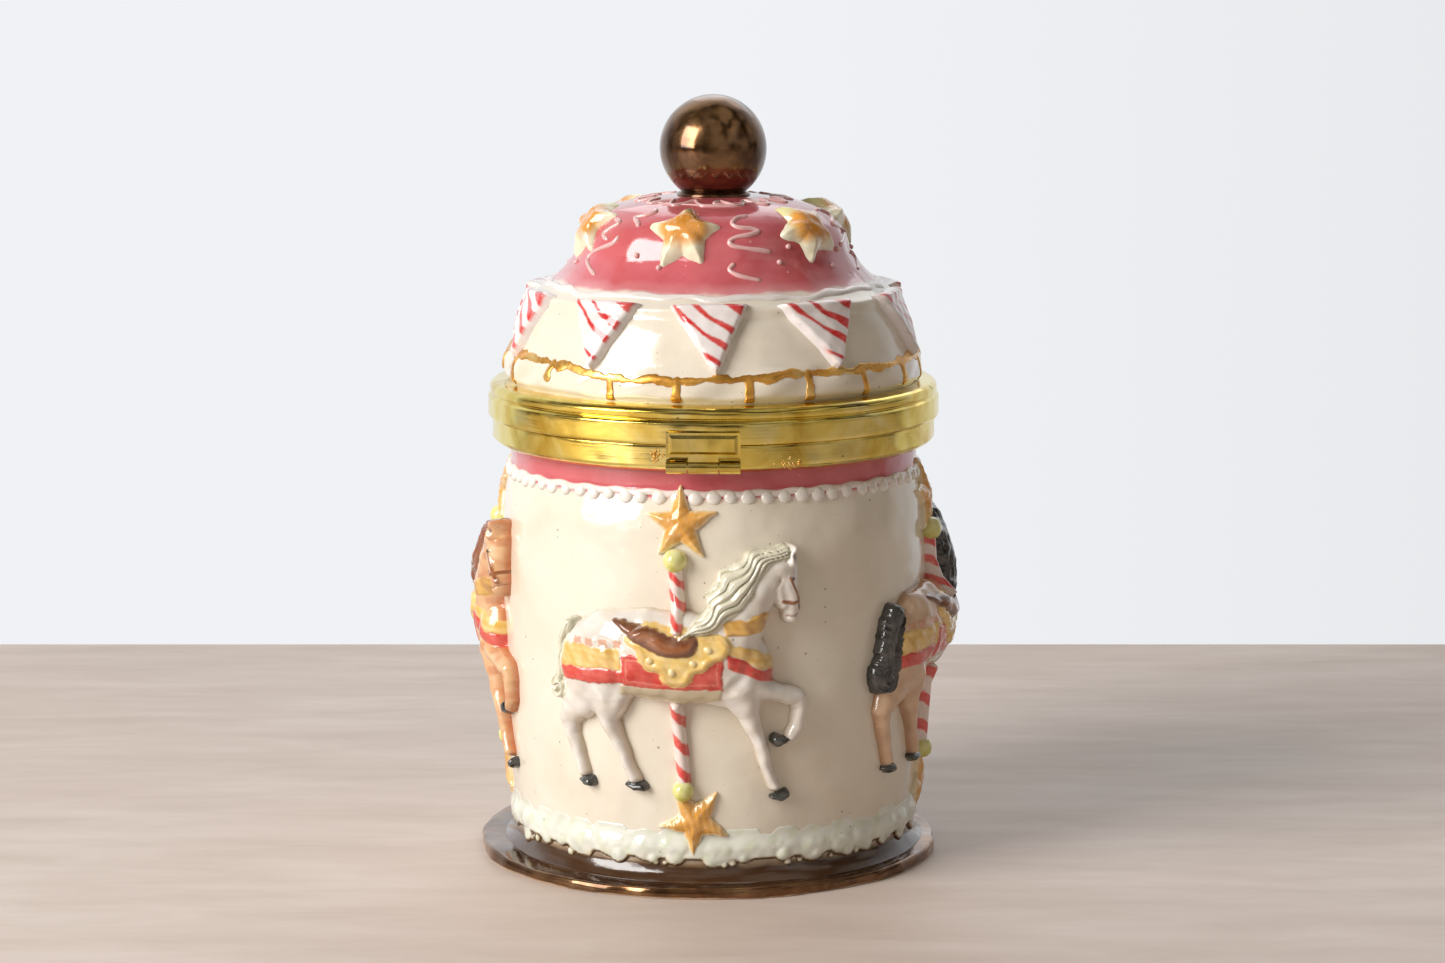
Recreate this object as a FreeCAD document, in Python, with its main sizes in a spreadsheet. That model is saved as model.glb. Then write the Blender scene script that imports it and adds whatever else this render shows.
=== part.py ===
import FreeCAD, Part
import math
import os

import Sketcher
from FreeCAD import Placement, Rotation, Vector

# A glazed ceramic jar in the form of a carousel. Millimetres, +Z up, the front faces -Y,
# and the origin is on the jar's axis, at the level of the surface that it stands on.

doc = FreeCAD.newDocument("carousel_music_box")

# Driving dimensions, each an aliased cell of the sheet.
DIMENSIONS = {
    "disc_radius": 62.4,
    "disc_thickness": 3.0,
    "disc_shift": -1.8,
    "key_opening_radius": 34.0,
    "foot_radius": 54.0,
    "belly_radius": 57.4,
    "shoulder_level": 104.5,
    "neck_radius": 54.7,
    "mouth_radius": 50.2,
    "floor_level": 14.0,
    "floor_thickness": 4.5,
    "ledge_level": 42.0,
    "ledge_radius": 48.0,
    "split_level": 118.5,
    "split_gap": 0.2,
    "rim_radius": 59.4,
    "lid_rim_radius": 60.6,
    "rim_seat_radius": 55.05,
    "strip_thickness": 1.0,
    "band_level": 152.6,
    "crown_level": 177.2,
    "ball_radius": 14.3,
    "overall_height": 204.0,
    "fittings_turn": -2.3,
    "fitting_width": 18.9,
    "knuckle_radius": 1.7,
    "pin_radius": 0.7,
    "running_clearance": 0.05,
    "clasp_axis_reach": 61.5,
    "clasp_axis_level": 113.2,
    "hinge_axis_reach": 62.6,
    "decor_turn": -8.3,
    "horse_count": 4,
    "flag_count": 10,
    "dome_star_count": 6,
    "bedplate_thickness": 2.2,
    "arbor_level": 32.7,
    "cylinder_radius": 6.6,
    "cylinder_length": 20.0,
    "comb_teeth": 18,
    "winding_across": 14.5,
    "train_depth": -6.0,
}

sheet = doc.addObject("Spreadsheet::Sheet", "Sizes")
for row, (alias, value) in enumerate(DIMENSIONS.items(), start=1):
    sheet.set("A%d" % row, alias.replace("_", " "))
    sheet.set("B%d" % row, str(value))
    sheet.setAlias("B%d" % row, alias)
doc.recompute()


class Size(float):
    """A length from the sheet, with an offset, that knows its own expression."""

    def __new__(cls, alias, offset=0.0):
        made = super().__new__(cls, float(sheet.get(alias)) + offset)
        made.expression = "Sizes.%s + %r" % (alias, float(offset))
        return made


def bind(thing, prop, value):
    """Set a property to a number, or bind it to the sheet when it comes from there."""
    if isinstance(value, Size):
        thing.setExpression(prop, value.expression)
    elif "." in prop:
        thing.setExpression(prop, repr(float(value)))
    else:
        setattr(thing, prop, value)


floor_top = Size("floor_level", DIMENSIONS["floor_thickness"])
bed_top = floor_top + Size("bedplate_thickness")
arbor_level = Size("arbor_level")
subparts = []


def keep(thing, label):
    thing.Label = label
    subparts.append(thing)
    return thing


# Outlines: a closed list of (x, y) or (x, y, bulge) corners, counter-clockwise. A bulge makes
# the side to the next corner an arc, and is how far that arc stands out of the straight side.


def sides(outline, closed=True):
    count = len(outline)
    for index in range(count if closed else count - 1):
        here, after = outline[index], outline[(index + 1) % count]
        start = Vector(float(here[0]), float(here[1]), 0)
        end = Vector(float(after[0]), float(after[1]), 0)
        along = end - start
        bulge = here[2] if len(here) > 2 else 0
        if bulge:
            outward = Vector(along.y, -along.x, 0).normalize()
            yield Part.Arc(start, (start + end) * 0.5 + outward * bulge, end), abs(bulge), along.Length
        else:
            yield Part.LineSegment(start, end), 0, along.Length


def end_points(geometry):
    """The start and end numbers of a sketch side, in the outline's own order."""
    if isinstance(geometry, Part.ArcOfCircle):
        return (1, 2) if geometry.Circle.Axis.z > 0 else (2, 1)
    return 1, 2


def draw(sketch, outline):
    """Add an outline to a sketch, every corner placed by constraints that follow the sheet."""
    for geometry, bulge, chord in sides(outline):
        if bulge:
            edge = geometry.toShape()
            geometry = Part.ArcOfCircle(edge.Curve, edge.ParameterRange[0], edge.ParameterRange[1])
        sketch.addGeometry(geometry, False)
    for index, corner in enumerate(outline):
        start, end = end_points(sketch.Geometry[index])
        after = (index + 1) % len(outline)
        next_start = end_points(sketch.Geometry[after])[0]
        sketch.addConstraint(Sketcher.Constraint("Coincident", index, end, after, next_start))
        for kind, value, axis in (("DistanceX", corner[0], -2), ("DistanceY", corner[1], -1)):
            if value == 0 and not isinstance(value, Size):
                sketch.addConstraint(Sketcher.Constraint("PointOnObject", index, start, axis))
                continue
            number = sketch.addConstraint(
                Sketcher.Constraint(kind, -1, 1, index, start, float(value)))
            if isinstance(value, Size):
                sketch.setExpression("Constraints[%d]" % number, value.expression)
    for index, (geometry, bulge, chord) in enumerate(sides(outline)):
        if bulge:
            radius = (chord * chord / 4 + bulge * bulge) / (2 * bulge)
            sketch.addConstraint(Sketcher.Constraint("Radius", index, radius))


def new_sketch(body, name, role):
    sketch = body.newObject("Sketcher::SketchObject", name)
    plane = [each for each in body.Origin.OriginFeatures if each.Role == role][0]
    sketch.AttachmentSupport = [(plane, "")]
    sketch.MapMode = "FlatFace"
    return sketch


def turned(label, outline):
    """A piece turned about Z from its half outline of (radius, level) corners."""
    body = doc.addObject("PartDesign::Body", label)
    sketch = new_sketch(body, label + "_outline", "XZ_Plane")
    draw(sketch, outline)
    turning = body.newObject("PartDesign::Revolution", label + "_turning")
    turning.Profile = sketch
    turning.ReferenceAxis = (sketch, ["V_Axis"])
    turning.Angle = 360
    body.Tip = turning
    return keep(body, label)


def plate(label, outline, bottom, thickness):
    """A flat piece: an outline seen from above, padded up from its bottom level."""
    body = doc.addObject("PartDesign::Body", label)
    sketch = new_sketch(body, label + "_outline", "XY_Plane")
    draw(sketch, outline)
    bind(sketch, "AttachmentOffset.Base.z", bottom)
    pad = body.newObject("PartDesign::Pad", label + "_pad")
    pad.Profile = sketch
    bind(pad, "Length", thickness)
    body.Tip = pad
    return keep(body, label)


def drill(body, holes):
    """Round holes of (x, y, radius), straight up through a body from below."""
    sketch = new_sketch(body, body.Label + "_holes", "XY_Plane")
    for across, depth, radius in holes:
        circle = Part.Circle(Vector(float(across), float(depth), 0), Vector(0, 0, 1), float(radius))
        number = sketch.addGeometry(circle, False)
        for kind, value in (("DistanceX", across), ("DistanceY", depth)):
            if value:
                place = sketch.addConstraint(Sketcher.Constraint(kind, -1, 1, number, 3, float(value)))
                if isinstance(value, Size):
                    sketch.setExpression("Constraints[%d]" % place, value.expression)
        sketch.addConstraint(Sketcher.Constraint("Radius", number, float(radius)))
    pocket = body.newObject("PartDesign::Pocket", body.Label + "_drilling")
    pocket.Profile = sketch
    pocket.Type = "ThroughAll"
    pocket.Reversed = True
    body.Tip = pocket


def box(name, low, high):
    """A Part::Box between two corners."""
    made = doc.addObject("Part::Box", name)
    for prop, axis, start, end in zip(("Length", "Width", "Height"), "xyz", low, high):
        bind(made, prop, float(end) - float(start))
        bind(made, "Placement.Base." + axis, start)
    return made


def rod(name, start, radius, length, axis="z"):
    """A Part::Cylinder from a point, along X, Y or Z."""
    made = doc.addObject("Part::Cylinder", name)
    bind(made, "Radius", radius)
    bind(made, "Height", length)
    turn = {"x": Rotation(Vector(0, 1, 0), 90), "y": Rotation(Vector(1, 0, 0), -90), "z": Rotation()}
    made.Placement = Placement(Vector(*[float(value) for value in start]), turn[axis])
    for letter, value in zip("xyz", start):
        if isinstance(value, Size):
            bind(made, "Placement.Base." + letter, value)
    return made


def fuse(name, pieces):
    made = doc.addObject("Part::MultiFuse", name)
    made.Shapes = pieces
    made.Refine = True
    return made


def cut(name, base, tool):
    made = doc.addObject("Part::Cut", name)
    made.Base, made.Tool = base, tool
    return made


def shaped(label, shape, placement=None):
    """A piece whose form neither the sketch features nor the primitives make."""
    made = doc.addObject("Part::Feature", label)
    made.Shape = shape
    if placement:
        made.Placement = placement
    return keep(made, label)


def about_axis(azimuth):
    """The placement of a piece modelled at the front, moved round the jar to an azimuth."""
    return Placement(Vector(), Rotation(Vector(0, 0, 1), azimuth))


def around(shape, azimuths):
    """Copies of a shape modelled at the front, at each azimuth."""
    copies = []
    for azimuth in azimuths:
        copy = shape.copy()
        copy.rotate(Vector(), Vector(0, 0, 1), azimuth)
        copies.append(copy)
    return Part.makeCompound(copies)


def solid_of(outline):
    """The solid inside an open half outline of (radius, level) corners, closed at the axis."""
    ring = list(outline)
    if ring[-1][0] > 0:
        ring.append((0, ring[-1][1]))
    ring.append((0, ring[0][1]))
    face = Part.Face(Part.Wire([geometry.toShape() for geometry, bulge, chord in sides(ring)]))
    face.rotate(Vector(), Vector(1, 0, 0), 90)
    return face.revolve(Vector(), Vector(0, 0, 1), 360)


def grown(outline, distance):
    """An open half outline moved outwards, square to itself."""
    moved = []
    for index, corner in enumerate(outline):
        before, after = outline[max(index - 1, 0)], outline[min(index + 1, len(outline) - 1)]
        along = Vector(after[0] - before[0], after[1] - before[1], 0).normalize()
        place = (corner[0] + along.y * distance, corner[1] - along.x * distance)
        moved.append(place + tuple(corner[2:]))
    return moved


def relief(outline_wire, centre, pitch, core, envelope):
    """An applied sprig: an outline laid on the curved wall, as thick as the envelope allows.

    The outline is drawn about its own centre; centre is its (radius, level) at the front,
    and pitch is how far its face looks upwards, in degrees.
    """
    half_depth = 14
    face = Part.Face(outline_wire)
    block = face.extrude(Vector(0, 0, 2 * half_depth))
    block.translate(Vector(0, 0, -half_depth))
    block.rotate(Vector(), Vector(1, 0, 0), 90 - pitch)
    block.translate(Vector(0, -centre[0], centre[1]))
    piece = block.common(envelope).cut(core)
    return max(piece.Solids, key=lambda solid: solid.Volume)


def star_wire(tip_radius, notch_radius, turn=90):
    """A five-pointed star with its points softened by a short flat."""
    points = []
    soften = 4
    for point in range(5):
        for step, radius in ((-soften, tip_radius), (soften, tip_radius), (36, notch_radius)):
            angle = math.radians(turn + 72 * point + step)
            points.append(Vector(radius * math.cos(angle), radius * math.sin(angle), 0))
    return Part.makePolygon(points + points[:1])


def gear_wire(teeth, pitch_radius, addendum, dedendum, tip_width, root_width, turn=0.0):
    """A gear's outline of plain tapered teeth; the first tooth points along +X, then turned."""
    points = []
    for tooth in range(teeth):
        middle = math.radians(turn) + 2 * math.pi * tooth / teeth
        for radius, width in ((pitch_radius - dedendum, -root_width), (pitch_radius + addendum, -tip_width),
                              (pitch_radius + addendum, tip_width), (pitch_radius - dedendum, root_width)):
            angle = middle + width / 2 / radius
            points.append(Vector(radius * math.cos(angle), radius * math.sin(angle), 0))
    return Part.makePolygon(points + points[:1])


def gear_along_x(wire, start, depth, level, length):
    """A gear whose axis lies along X, from its outline drawn in XY."""
    solid = Part.Face(wire).extrude(Vector(0, 0, length))
    solid.rotate(Vector(), Vector(0, 1, 0), 90)
    solid.translate(Vector(start, depth, level))
    return solid


# ---- The jar: base disc, pot and the trims on them ----

# The pot's outer wall from the cove above the disc to the mouth.
pot_wall = [
    (Size("foot_radius", 3.2), Size("disc_thickness"), -0.8),
    (Size("foot_radius"), 8.0, 0.5),
    (Size("belly_radius"), 64.0, 0.45),
    (Size("belly_radius"), 90.0, 0.35),
    (Size("neck_radius", 0.5), Size("shoulder_level")),
    (Size("neck_radius"), Size("shoulder_level", 2.0)),
    (Size("neck_radius"), Size("split_level", -1.1)),
]
foot_inner_radius = 47.0
wall = 4.2


def make_base_disc():
    lip = 1.5
    disc = turned("base_disc", [
        (Size("key_opening_radius"), 0),
        (Size("disc_radius", -lip), 0, 0.4),
        (Size("disc_radius"), lip, 0.3),
        (Size("disc_radius", -lip / 2), Size("disc_thickness")),
        (Size("key_opening_radius"), Size("disc_thickness")),
    ])
    bind(disc, "Placement.Base.x", Size("disc_shift"))


movement_screws = [(-24.0, 12.0), (20.0, 13.0), (-16.0, -19.0)]
screw_radius = 1.2


def make_pot():
    inside = [
        (Size("mouth_radius"), Size("split_level", -1.1)),
        (Size("mouth_radius"), Size("shoulder_level"), -0.5),
        (Size("belly_radius", -wall), 86.0, -0.4),
        (Size("belly_radius", -wall), 62.0),
        (Size("ledge_radius", 3.4), Size("ledge_level")),
        (Size("ledge_radius"), Size("ledge_level")),
        (Size("ledge_radius"), Size("ledge_level", -2.5)),
        (Size("ledge_radius", 2.3), Size("ledge_level", -6.0)),
        (Size("ledge_radius", 2.3), Size("floor_level", 4.5)),
        (0, Size("floor_level", 4.5)),
        (0, Size("floor_level")),
        (foot_inner_radius, Size("floor_level")),
        (foot_inner_radius, Size("disc_thickness")),
    ]
    pot = turned("pot_shell", pot_wall + inside)
    holes = [(Size("winding_across"), Size("train_depth"), 3.0)]
    holes += [(across, depth, screw_radius + 0.3) for across, depth in movement_screws]
    drill(pot, holes)


plain_pot = [tuple([float(value) for value in corner]) for corner in pot_wall]
pot_core = solid_of(plain_pot)


def star_solid(azimuth, level, tip_radius, turn, thickness):
    notch = 0.48 * tip_radius
    envelope = solid_of(grown(plain_pot, thickness))
    solid = relief(star_wire(tip_radius, notch, turn), (DIMENSIONS["belly_radius"], level), 0,
                   pot_core, envelope)
    solid.rotate(Vector(), Vector(0, 0, 1), azimuth)
    return solid


quarter = 360 / DIMENSIONS["horse_count"]
decor_azimuths = [DIMENSIONS["decor_turn"] + quarter * side for side in range(DIMENSIONS["horse_count"])]
side_names = ["front", "right", "back", "left"]

upper_star_level = 98.0
lower_star_level = 19.8
upper_star_radius = 9.0
lower_star_radius = 10.0
lower_star_turn = 3.4


pole_reach = DIMENSIONS["belly_radius"] + 0.9
pole_ball_radius = 2.8
lower_balls = around(Part.makeSphere(pole_ball_radius, Vector(0, -pole_reach + 1.6, 27.8)).cut(pot_core),
                     decor_azimuths)
upper_balls = around(Part.makeSphere(pole_ball_radius, Vector(0, -pole_reach - 0.4, 88.5)).cut(pot_core),
                     decor_azimuths)


def make_trims():
    """The bead line under the neck, the frill round the foot, and the stars over and under the horses."""
    upper = [star_solid(azimuth, upper_star_level, upper_star_radius, 90, 2.6)
             for azimuth in decor_azimuths]
    lower = [star_solid(azimuth + lower_star_turn, lower_star_level, lower_star_radius, -90, 3.0)
             for azimuth in decor_azimuths]
    lower = [max(star.cut(lower_balls).Solids, key=lambda solid: solid.Volume) for star in lower]
    shaped("upper_stars", Part.makeCompound(upper))
    shaped("lower_stars", Part.makeCompound(lower))
    bead_radius = 1.0
    line = Part.makeTorus(Size("neck_radius", 0.6), bead_radius, Vector(0, 0, Size("shoulder_level")))
    shaped("bead_trim", line.cut(pot_core).cut(Part.makeCompound(upper)))
    frill = [(50, 6.6), (54.4, 6.6, 0.4), (56.6, 9.6, 0.8), (55.8, 14.6, 0.5), (53.0, 18.2), (50, 18.2)]
    ring = Part.Face(Part.Wire([side[0].toShape() for side in sides(frill)]))
    ring.rotate(Vector(), Vector(1, 0, 0), 90)
    ring = ring.revolve(Vector(), Vector(0, 0, 1), 360)
    shaped("frill", ring.cut(pot_core).cut(Part.makeCompound(lower)))


# The horse's outline, seen from outside the jar, in the unrolled wall: (along the wall, level).
# It starts at the ears and goes round the head, the forelegs, the hind legs, the tail and the mane.
HORSE_OUTLINE = [
    (28.6, 90.2), (31.4, 87.6), (33.0, 83.0), (32.2, 76.0), (30.2, 70.4), (27.0, 70.0),
    (25.0, 74.4), (22.8, 73.4), (23.2, 67.0), (25.0, 60.0), (26.4, 56.2), (32.0, 54.6),
    (34.4, 51.0), (33.8, 44.0), (31.0, 39.6), (25.6, 39.4), (25.4, 41.8), (29.4, 43.6),
    (29.6, 49.0), (24.6, 49.6), (23.8, 40.0), (26.0, 31.0), (28.8, 27.0), (27.6, 25.0),
    (23.0, 25.4), (21.6, 31.6), (18.6, 40.0), (14.6, 48.4), (9.4, 51.2), (2.0, 50.4),
    (-4.0, 49.4), (-12.4, 50.4), (-15.4, 44.4), (-15.4, 40.0), (-12.2, 31.6), (-9.8, 27.6),
    (-11.2, 25.8), (-16.2, 27.0), (-17.2, 32.0), (-20.2, 39.4), (-24.4, 43.8), (-28.6, 44.4),
    (-31.2, 40.4), (-29.6, 31.6), (-26.6, 28.0), (-28.0, 26.0), (-32.8, 27.2), (-33.8, 33.0),
    (-36.2, 40.0), (-37.0, 46.0), (-38.4, 51.0), (-37.2, 58.0), (-35.6, 66.0), (-32.6, 71.4),
    (-27.4, 74.0), (-19.4, 76.0), (-11.0, 74.6), (-4.6, 76.4), (3.0, 75.0), (7.6, 79.6),
    (10.4, 85.0), (15.4, 88.8), (21.4, 91.2), (26.6, 91.4),
]
# How far the horse stands out of the wall: its outer surface, from the hooves to the mane.
HORSE_RELIEF = [(58.6, 23.0), (60.4, 42.0), (63.6, 51.0, 0.3), (65.8, 61.0, 0.4), (63.6, 75.0), (61.2, 93.0)]


def horse_solid():
    wall_radius = DIMENSIONS["belly_radius"]
    level = 58.0
    points = []
    for along, height in HORSE_OUTLINE:
        points.append(Vector(wall_radius * math.sin(along / wall_radius), height - level, 0))
    curve = Part.BSplineCurve()
    curve.interpolate(Points=points, PeriodicFlag=True)
    return relief(Part.Wire(curve.toShape()), (wall_radius, level), 0, pot_core, solid_of(HORSE_RELIEF))


def make_horses():
    horse = horse_solid()
    for side, azimuth in zip(side_names, decor_azimuths):
        shaped("horse_" + side, horse, about_axis(azimuth))
    return horse


def make_poles(horse):
    """Each horse's twisted pole, seen above its back and under its belly, and the balls on its ends."""
    pole_radius = 2.0
    upper = Part.makeCylinder(pole_radius, 85.7 - 75.0, Vector(0, -pole_reach - 0.6, 75.0))
    lower = Part.makeCylinder(pole_radius, 52.0 - 30.6, Vector(0, -pole_reach + 1.3, 30.6))
    pieces = [piece.cut(pot_core).cut(horse) for piece in (upper, lower)]
    pieces = [max(piece.Solids, key=lambda solid: solid.Volume) for piece in pieces]
    for side, azimuth in zip(side_names, decor_azimuths):
        shaped("pole_" + side, Part.makeCompound(pieces), about_axis(azimuth))
    shaped("upper_pole_balls", upper_balls)
    shaped("lower_pole_balls", lower_balls)


# ---- The lid: shell, ball knob, flags and stars ----

lid_wall = [
    (Size("rim_seat_radius", -0.05), Size("split_level", 1.0)),
    (Size("rim_seat_radius", -0.05), 128.5),
    (56.2, 130.0, 0.2),
    (56.0, 134.5),
    (54.0, 138.2),
    (53.2, 140.2, 0.4),
    (48.9, 149.4),
    (48.6, 151.8),
    (47.0, Size("band_level"), -1.1),
    (36.4, 163.5, 2.1),
    (26.5, 174.6, 0.6),
    (9.2, Size("crown_level")),
    (0, Size("crown_level")),
]
plain_lid = [tuple([float(value) for value in corner]) for corner in lid_wall]
lid_core = solid_of(plain_lid[:-1])


def make_lid_shell():
    inside = [
        (0, Size("crown_level", -wall)),
        (20.0, 171.4, -1.6),
        (31.6, 162.4, 0.9),
        (43.6, 150.6),
        (44.6, 148.8, -0.4),
        (51.6, 134.5),
        (51.6, 130.0),
        (Size("mouth_radius"), 127.0),
        (Size("mouth_radius"), Size("split_level", 1.0)),
    ]
    turned("lid_shell", lid_wall + inside)


def make_knob():
    """The ball and its neck, with a narrow foot where it meets the crown."""
    ball_radius = DIMENSIONS["ball_radius"]
    centre = DIMENSIONS["overall_height"] - ball_radius
    neck_radius = 8.6
    foot = 0.8
    meet = centre - math.sqrt(ball_radius ** 2 - neck_radius ** 2)
    turned("ball_knob", [
        (0, Size("crown_level")),
        (neck_radius + foot / 2, Size("crown_level")),
        (neck_radius + foot / 2, Size("crown_level", foot)),
        (neck_radius, Size("crown_level", foot)),
        (neck_radius, meet, rise_of_arc(ball_radius, ball_radius - neck_radius, centre - meet)),
        (Size("ball_radius"), centre, rise_of_arc(ball_radius, ball_radius, ball_radius)),
        (0, Size("overall_height")),
    ])


def rise_of_arc(radius, across_span, height_span):
    """How far an arc of a radius stands out of a chord with these spans."""
    return radius - math.sqrt(radius ** 2 - (across_span ** 2 + height_span ** 2) / 4)


def make_flags():
    """Ten pennants hung from the band, their tips leaning a little to one side."""
    half_width, drop, lean = 8.6, 18.0, 1.6
    corner = 0.8
    wire = Part.makePolygon([Vector(*point, 0) for point in (
        (-half_width, 8.0), (lean - corner, 8.0 - drop), (lean + corner, 8.0 - drop),
        (half_width, 8.0), (-half_width, 8.0))])
    flag = relief(wire, (51.0, 143.0), 25, lid_core, solid_of(grown(plain_lid[:-1], 2.6)))
    step = 360 / DIMENSIONS["flag_count"]
    shaped("bunting_flags", around(flag, [step * index for index in range(DIMENSIONS["flag_count"])]))


def make_dome_stars():
    first = -12.0
    step = 360 / DIMENSIONS["dome_star_count"]
    star = relief(star_wire(8.8, 4.6, -90), (32.8, 169.4), 41, lid_core,
                  solid_of(grown(plain_lid[:-2], 3.0) + [(0, Size("crown_level", 3.0))]))
    azimuths = [first + step * index for index in range(DIMENSIONS["dome_star_count"])]
    shaped("dome_stars", around(star, azimuths))


# ---- The brass fittings: both rims, the hinge at the back and the clasp at the front ----


def make_rims():
    strip = DIMENSIONS["strip_thickness"]
    low = DIMENSIONS["split_gap"] / 2
    turned("body_rim", [
        (Size("rim_seat_radius"), 111.0, 0.2),
        (57.6, 111.6, 0.1),
        (Size("rim_radius"), 113.0),
        (Size("rim_radius"), Size("split_level", -low)),
        (Size("mouth_radius", 0.2), Size("split_level", -low)),
        (Size("mouth_radius", 0.2), Size("split_level", -low - 0.8)),
        (Size("rim_radius", -strip), Size("split_level", -low - 0.8)),
        (Size("rim_radius", -strip), 113.5),
        (Size("rim_seat_radius"), 112.2),
    ])
    turned("lid_rim", [
        (Size("mouth_radius", 0.2), Size("split_level", low)),
        (Size("lid_rim_radius", -0.6), Size("split_level", low), 0.15),
        (Size("lid_rim_radius"), 119.4),
        (Size("lid_rim_radius"), 124.1),
        (Size("lid_rim_radius", -1.0), 124.8),
        (Size("lid_rim_radius", -0.5), 125.4),
        (Size("lid_rim_radius", -0.5), 126.8, 0.2),
        (58.8, 128.0, 0.1),
        (Size("rim_seat_radius"), 128.4),
        (Size("rim_seat_radius"), 127.4),
        (58.2, 127.0),
        (Size("lid_rim_radius", -strip - 0.7), 126.2),
        (Size("lid_rim_radius", -strip - 0.9), 123.6),
        (Size("lid_rim_radius", -strip), 123.2),
        (Size("lid_rim_radius", -strip), 119.4),
        (Size("mouth_radius", 0.2), 119.4),
    ])


outer_knuckle = 5.3
knuckle_gap = 0.3
middle_knuckle = DIMENSIONS["fitting_width"] - 2 * outer_knuckle - 2 * knuckle_gap
pin_radius = DIMENSIONS["pin_radius"]
bore_radius = pin_radius + DIMENSIONS["running_clearance"]


def knuckle(name, start, depth, level, length, bore):
    """One knuckle along X with its bore."""
    barrel = rod(name + "_barrel", (start, depth, level), Size("knuckle_radius"), length, "x")
    hole = rod(name + "_bore", (start - 1, depth, level), bore, length + 2, "x")
    return barrel, hole


def fitted(label, blocks, knuckles, rim):
    """A fitting of blocks and knuckles soldered to a rim, turned to the fittings' azimuth."""
    solid = fuse(label + "_stock", blocks + [barrel for barrel, hole in knuckles])
    holes = fuse(label + "_bores", [hole for barrel, hole in knuckles] + [rim])
    made = cut(label, solid, holes)
    made.Placement = about_axis(DIMENSIONS["fittings_turn"])
    return keep(made, label)


def make_clasp():
    width = DIMENSIONS["fitting_width"]
    reach, level = Size("clasp_axis_reach"), Size("clasp_axis_level")
    start = -width / 2
    rim_cut = rod("clasp_rim_clearance", (0, 0, 100), Size("rim_radius"), 18.3)
    lugs = []
    holes = []
    for name, left in (("left", start), ("right", -start - outer_knuckle)):
        lugs.append(box("clasp_lug_" + name, (left, -reach, level - 1.0),
                        (left + outer_knuckle, -58.0, level + 1.6)))
        holes.append(knuckle("clasp_" + name, left, -reach, level, outer_knuckle, pin_radius))
    fitted("clasp_knuckles", lugs, holes, rim_cut)
    # The snap plate: a flat back with a raised bevelled panel, one piece with the middle knuckle.
    face, rear = -62.3, -61.15
    foot, top = 115.9, 122.1
    back = box("clasp_back", (start, face, foot), (-start, rear, top))
    panel = doc.addObject("Part::Wedge", "clasp_panel")
    border, bevel = 0.6, 0.9
    low, high = foot + border, top - border + 0.1
    panel_half = -start - border
    # The wedge narrows along its own Y, and is turned over to point out of the plate's face.
    for prop, value in dict(Xmin=-panel_half, Xmax=panel_half, Ymin=0, Ymax=1.0, Zmin=low, Zmax=high,
                            X2min=bevel - panel_half, X2max=panel_half - bevel,
                            Z2min=low + bevel, Z2max=high - bevel).items():
        setattr(panel, prop, value)
    panel.Placement = Placement(Vector(0, face + 0.1, low + high), Rotation(Vector(1, 0, 0), 180))
    strap = box("clasp_strap", (-middle_knuckle / 2, face, level), (middle_knuckle / 2, rear, foot + 0.1))
    middle = knuckle("clasp_middle", -middle_knuckle / 2, -reach, level, middle_knuckle, bore_radius)
    solid = fuse("clasp_plate_stock", [back, panel, strap, middle[0]])
    made = cut("clasp_plate", solid, middle[1])
    made.Placement = about_axis(DIMENSIONS["fittings_turn"])
    keep(made, "clasp_plate")
    pin = rod("clasp_rod", (start + 0.2, -reach, level), pin_radius, width - 0.4, "x")
    pin_at_azimuth(pin, "clasp_pin")


def pin_at_azimuth(pin, label):
    turned_pin = doc.addObject("Part::Compound", label + "_turned")
    turned_pin.Links = [pin]
    turned_pin.Placement = about_axis(DIMENSIONS["fittings_turn"])
    keep(turned_pin, label)


def make_hinge():
    width = DIMENSIONS["fitting_width"]
    reach, level = Size("hinge_axis_reach"), Size("split_level")
    start = -width / 2
    lower_clear = rod("hinge_body_rim_clearance", (0, 0, 100), Size("rim_radius"), 19)
    upper_clear = rod("hinge_lid_rim_clearance", (0, 0, 110), Size("lid_rim_radius"), 30)
    lugs = []
    holes = []
    for name, left in (("left", start), ("right", -start - outer_knuckle)):
        lugs.append(box("hinge_lug_" + name, (left, 57.0, level - 5.6),
                        (left + outer_knuckle, reach, level - 0.3)))
        holes.append(knuckle("hinge_" + name, left, reach, level, outer_knuckle, pin_radius))
    fitted("hinge_lower_leaf", lugs, holes, lower_clear)
    half = middle_knuckle / 2
    leaf = box("hinge_leaf", (-half, 58.5, level + 0.4), (half, reach, level + 5.2))
    middle = knuckle("hinge_middle", -half, reach, level, middle_knuckle, bore_radius)
    fitted("hinge_upper_leaf", [leaf], [middle], upper_clear)
    pin = rod("hinge_rod", (start + 0.2, reach, level), pin_radius, width - 0.4, "x")
    pin_at_azimuth(pin, "hinge_pin")


# ---- Inside the jar: the false floor, and the musical movement under it ----

# Tooth numbers: the crown wheel drives the cylinder, whose wheel drives the governor.
CROWN_TEETH = 30
PINION_TEETH = 10
TOOTH_PITCH = 2.01
crown_radius = CROWN_TEETH * TOOTH_PITCH / (2 * math.pi)
pinion_radius = PINION_TEETH * TOOTH_PITCH / (2 * math.pi)
WHEEL_TEETH = 24
GOVERNOR_PINION_TEETH = 8
MODULE = 0.5
wheel_radius = WHEEL_TEETH * MODULE / 2
governor_pinion_radius = GOVERNOR_PINION_TEETH * MODULE / 2
WORM_WHEEL_TEETH = 20
worm_wheel_radius = 4.0

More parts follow.
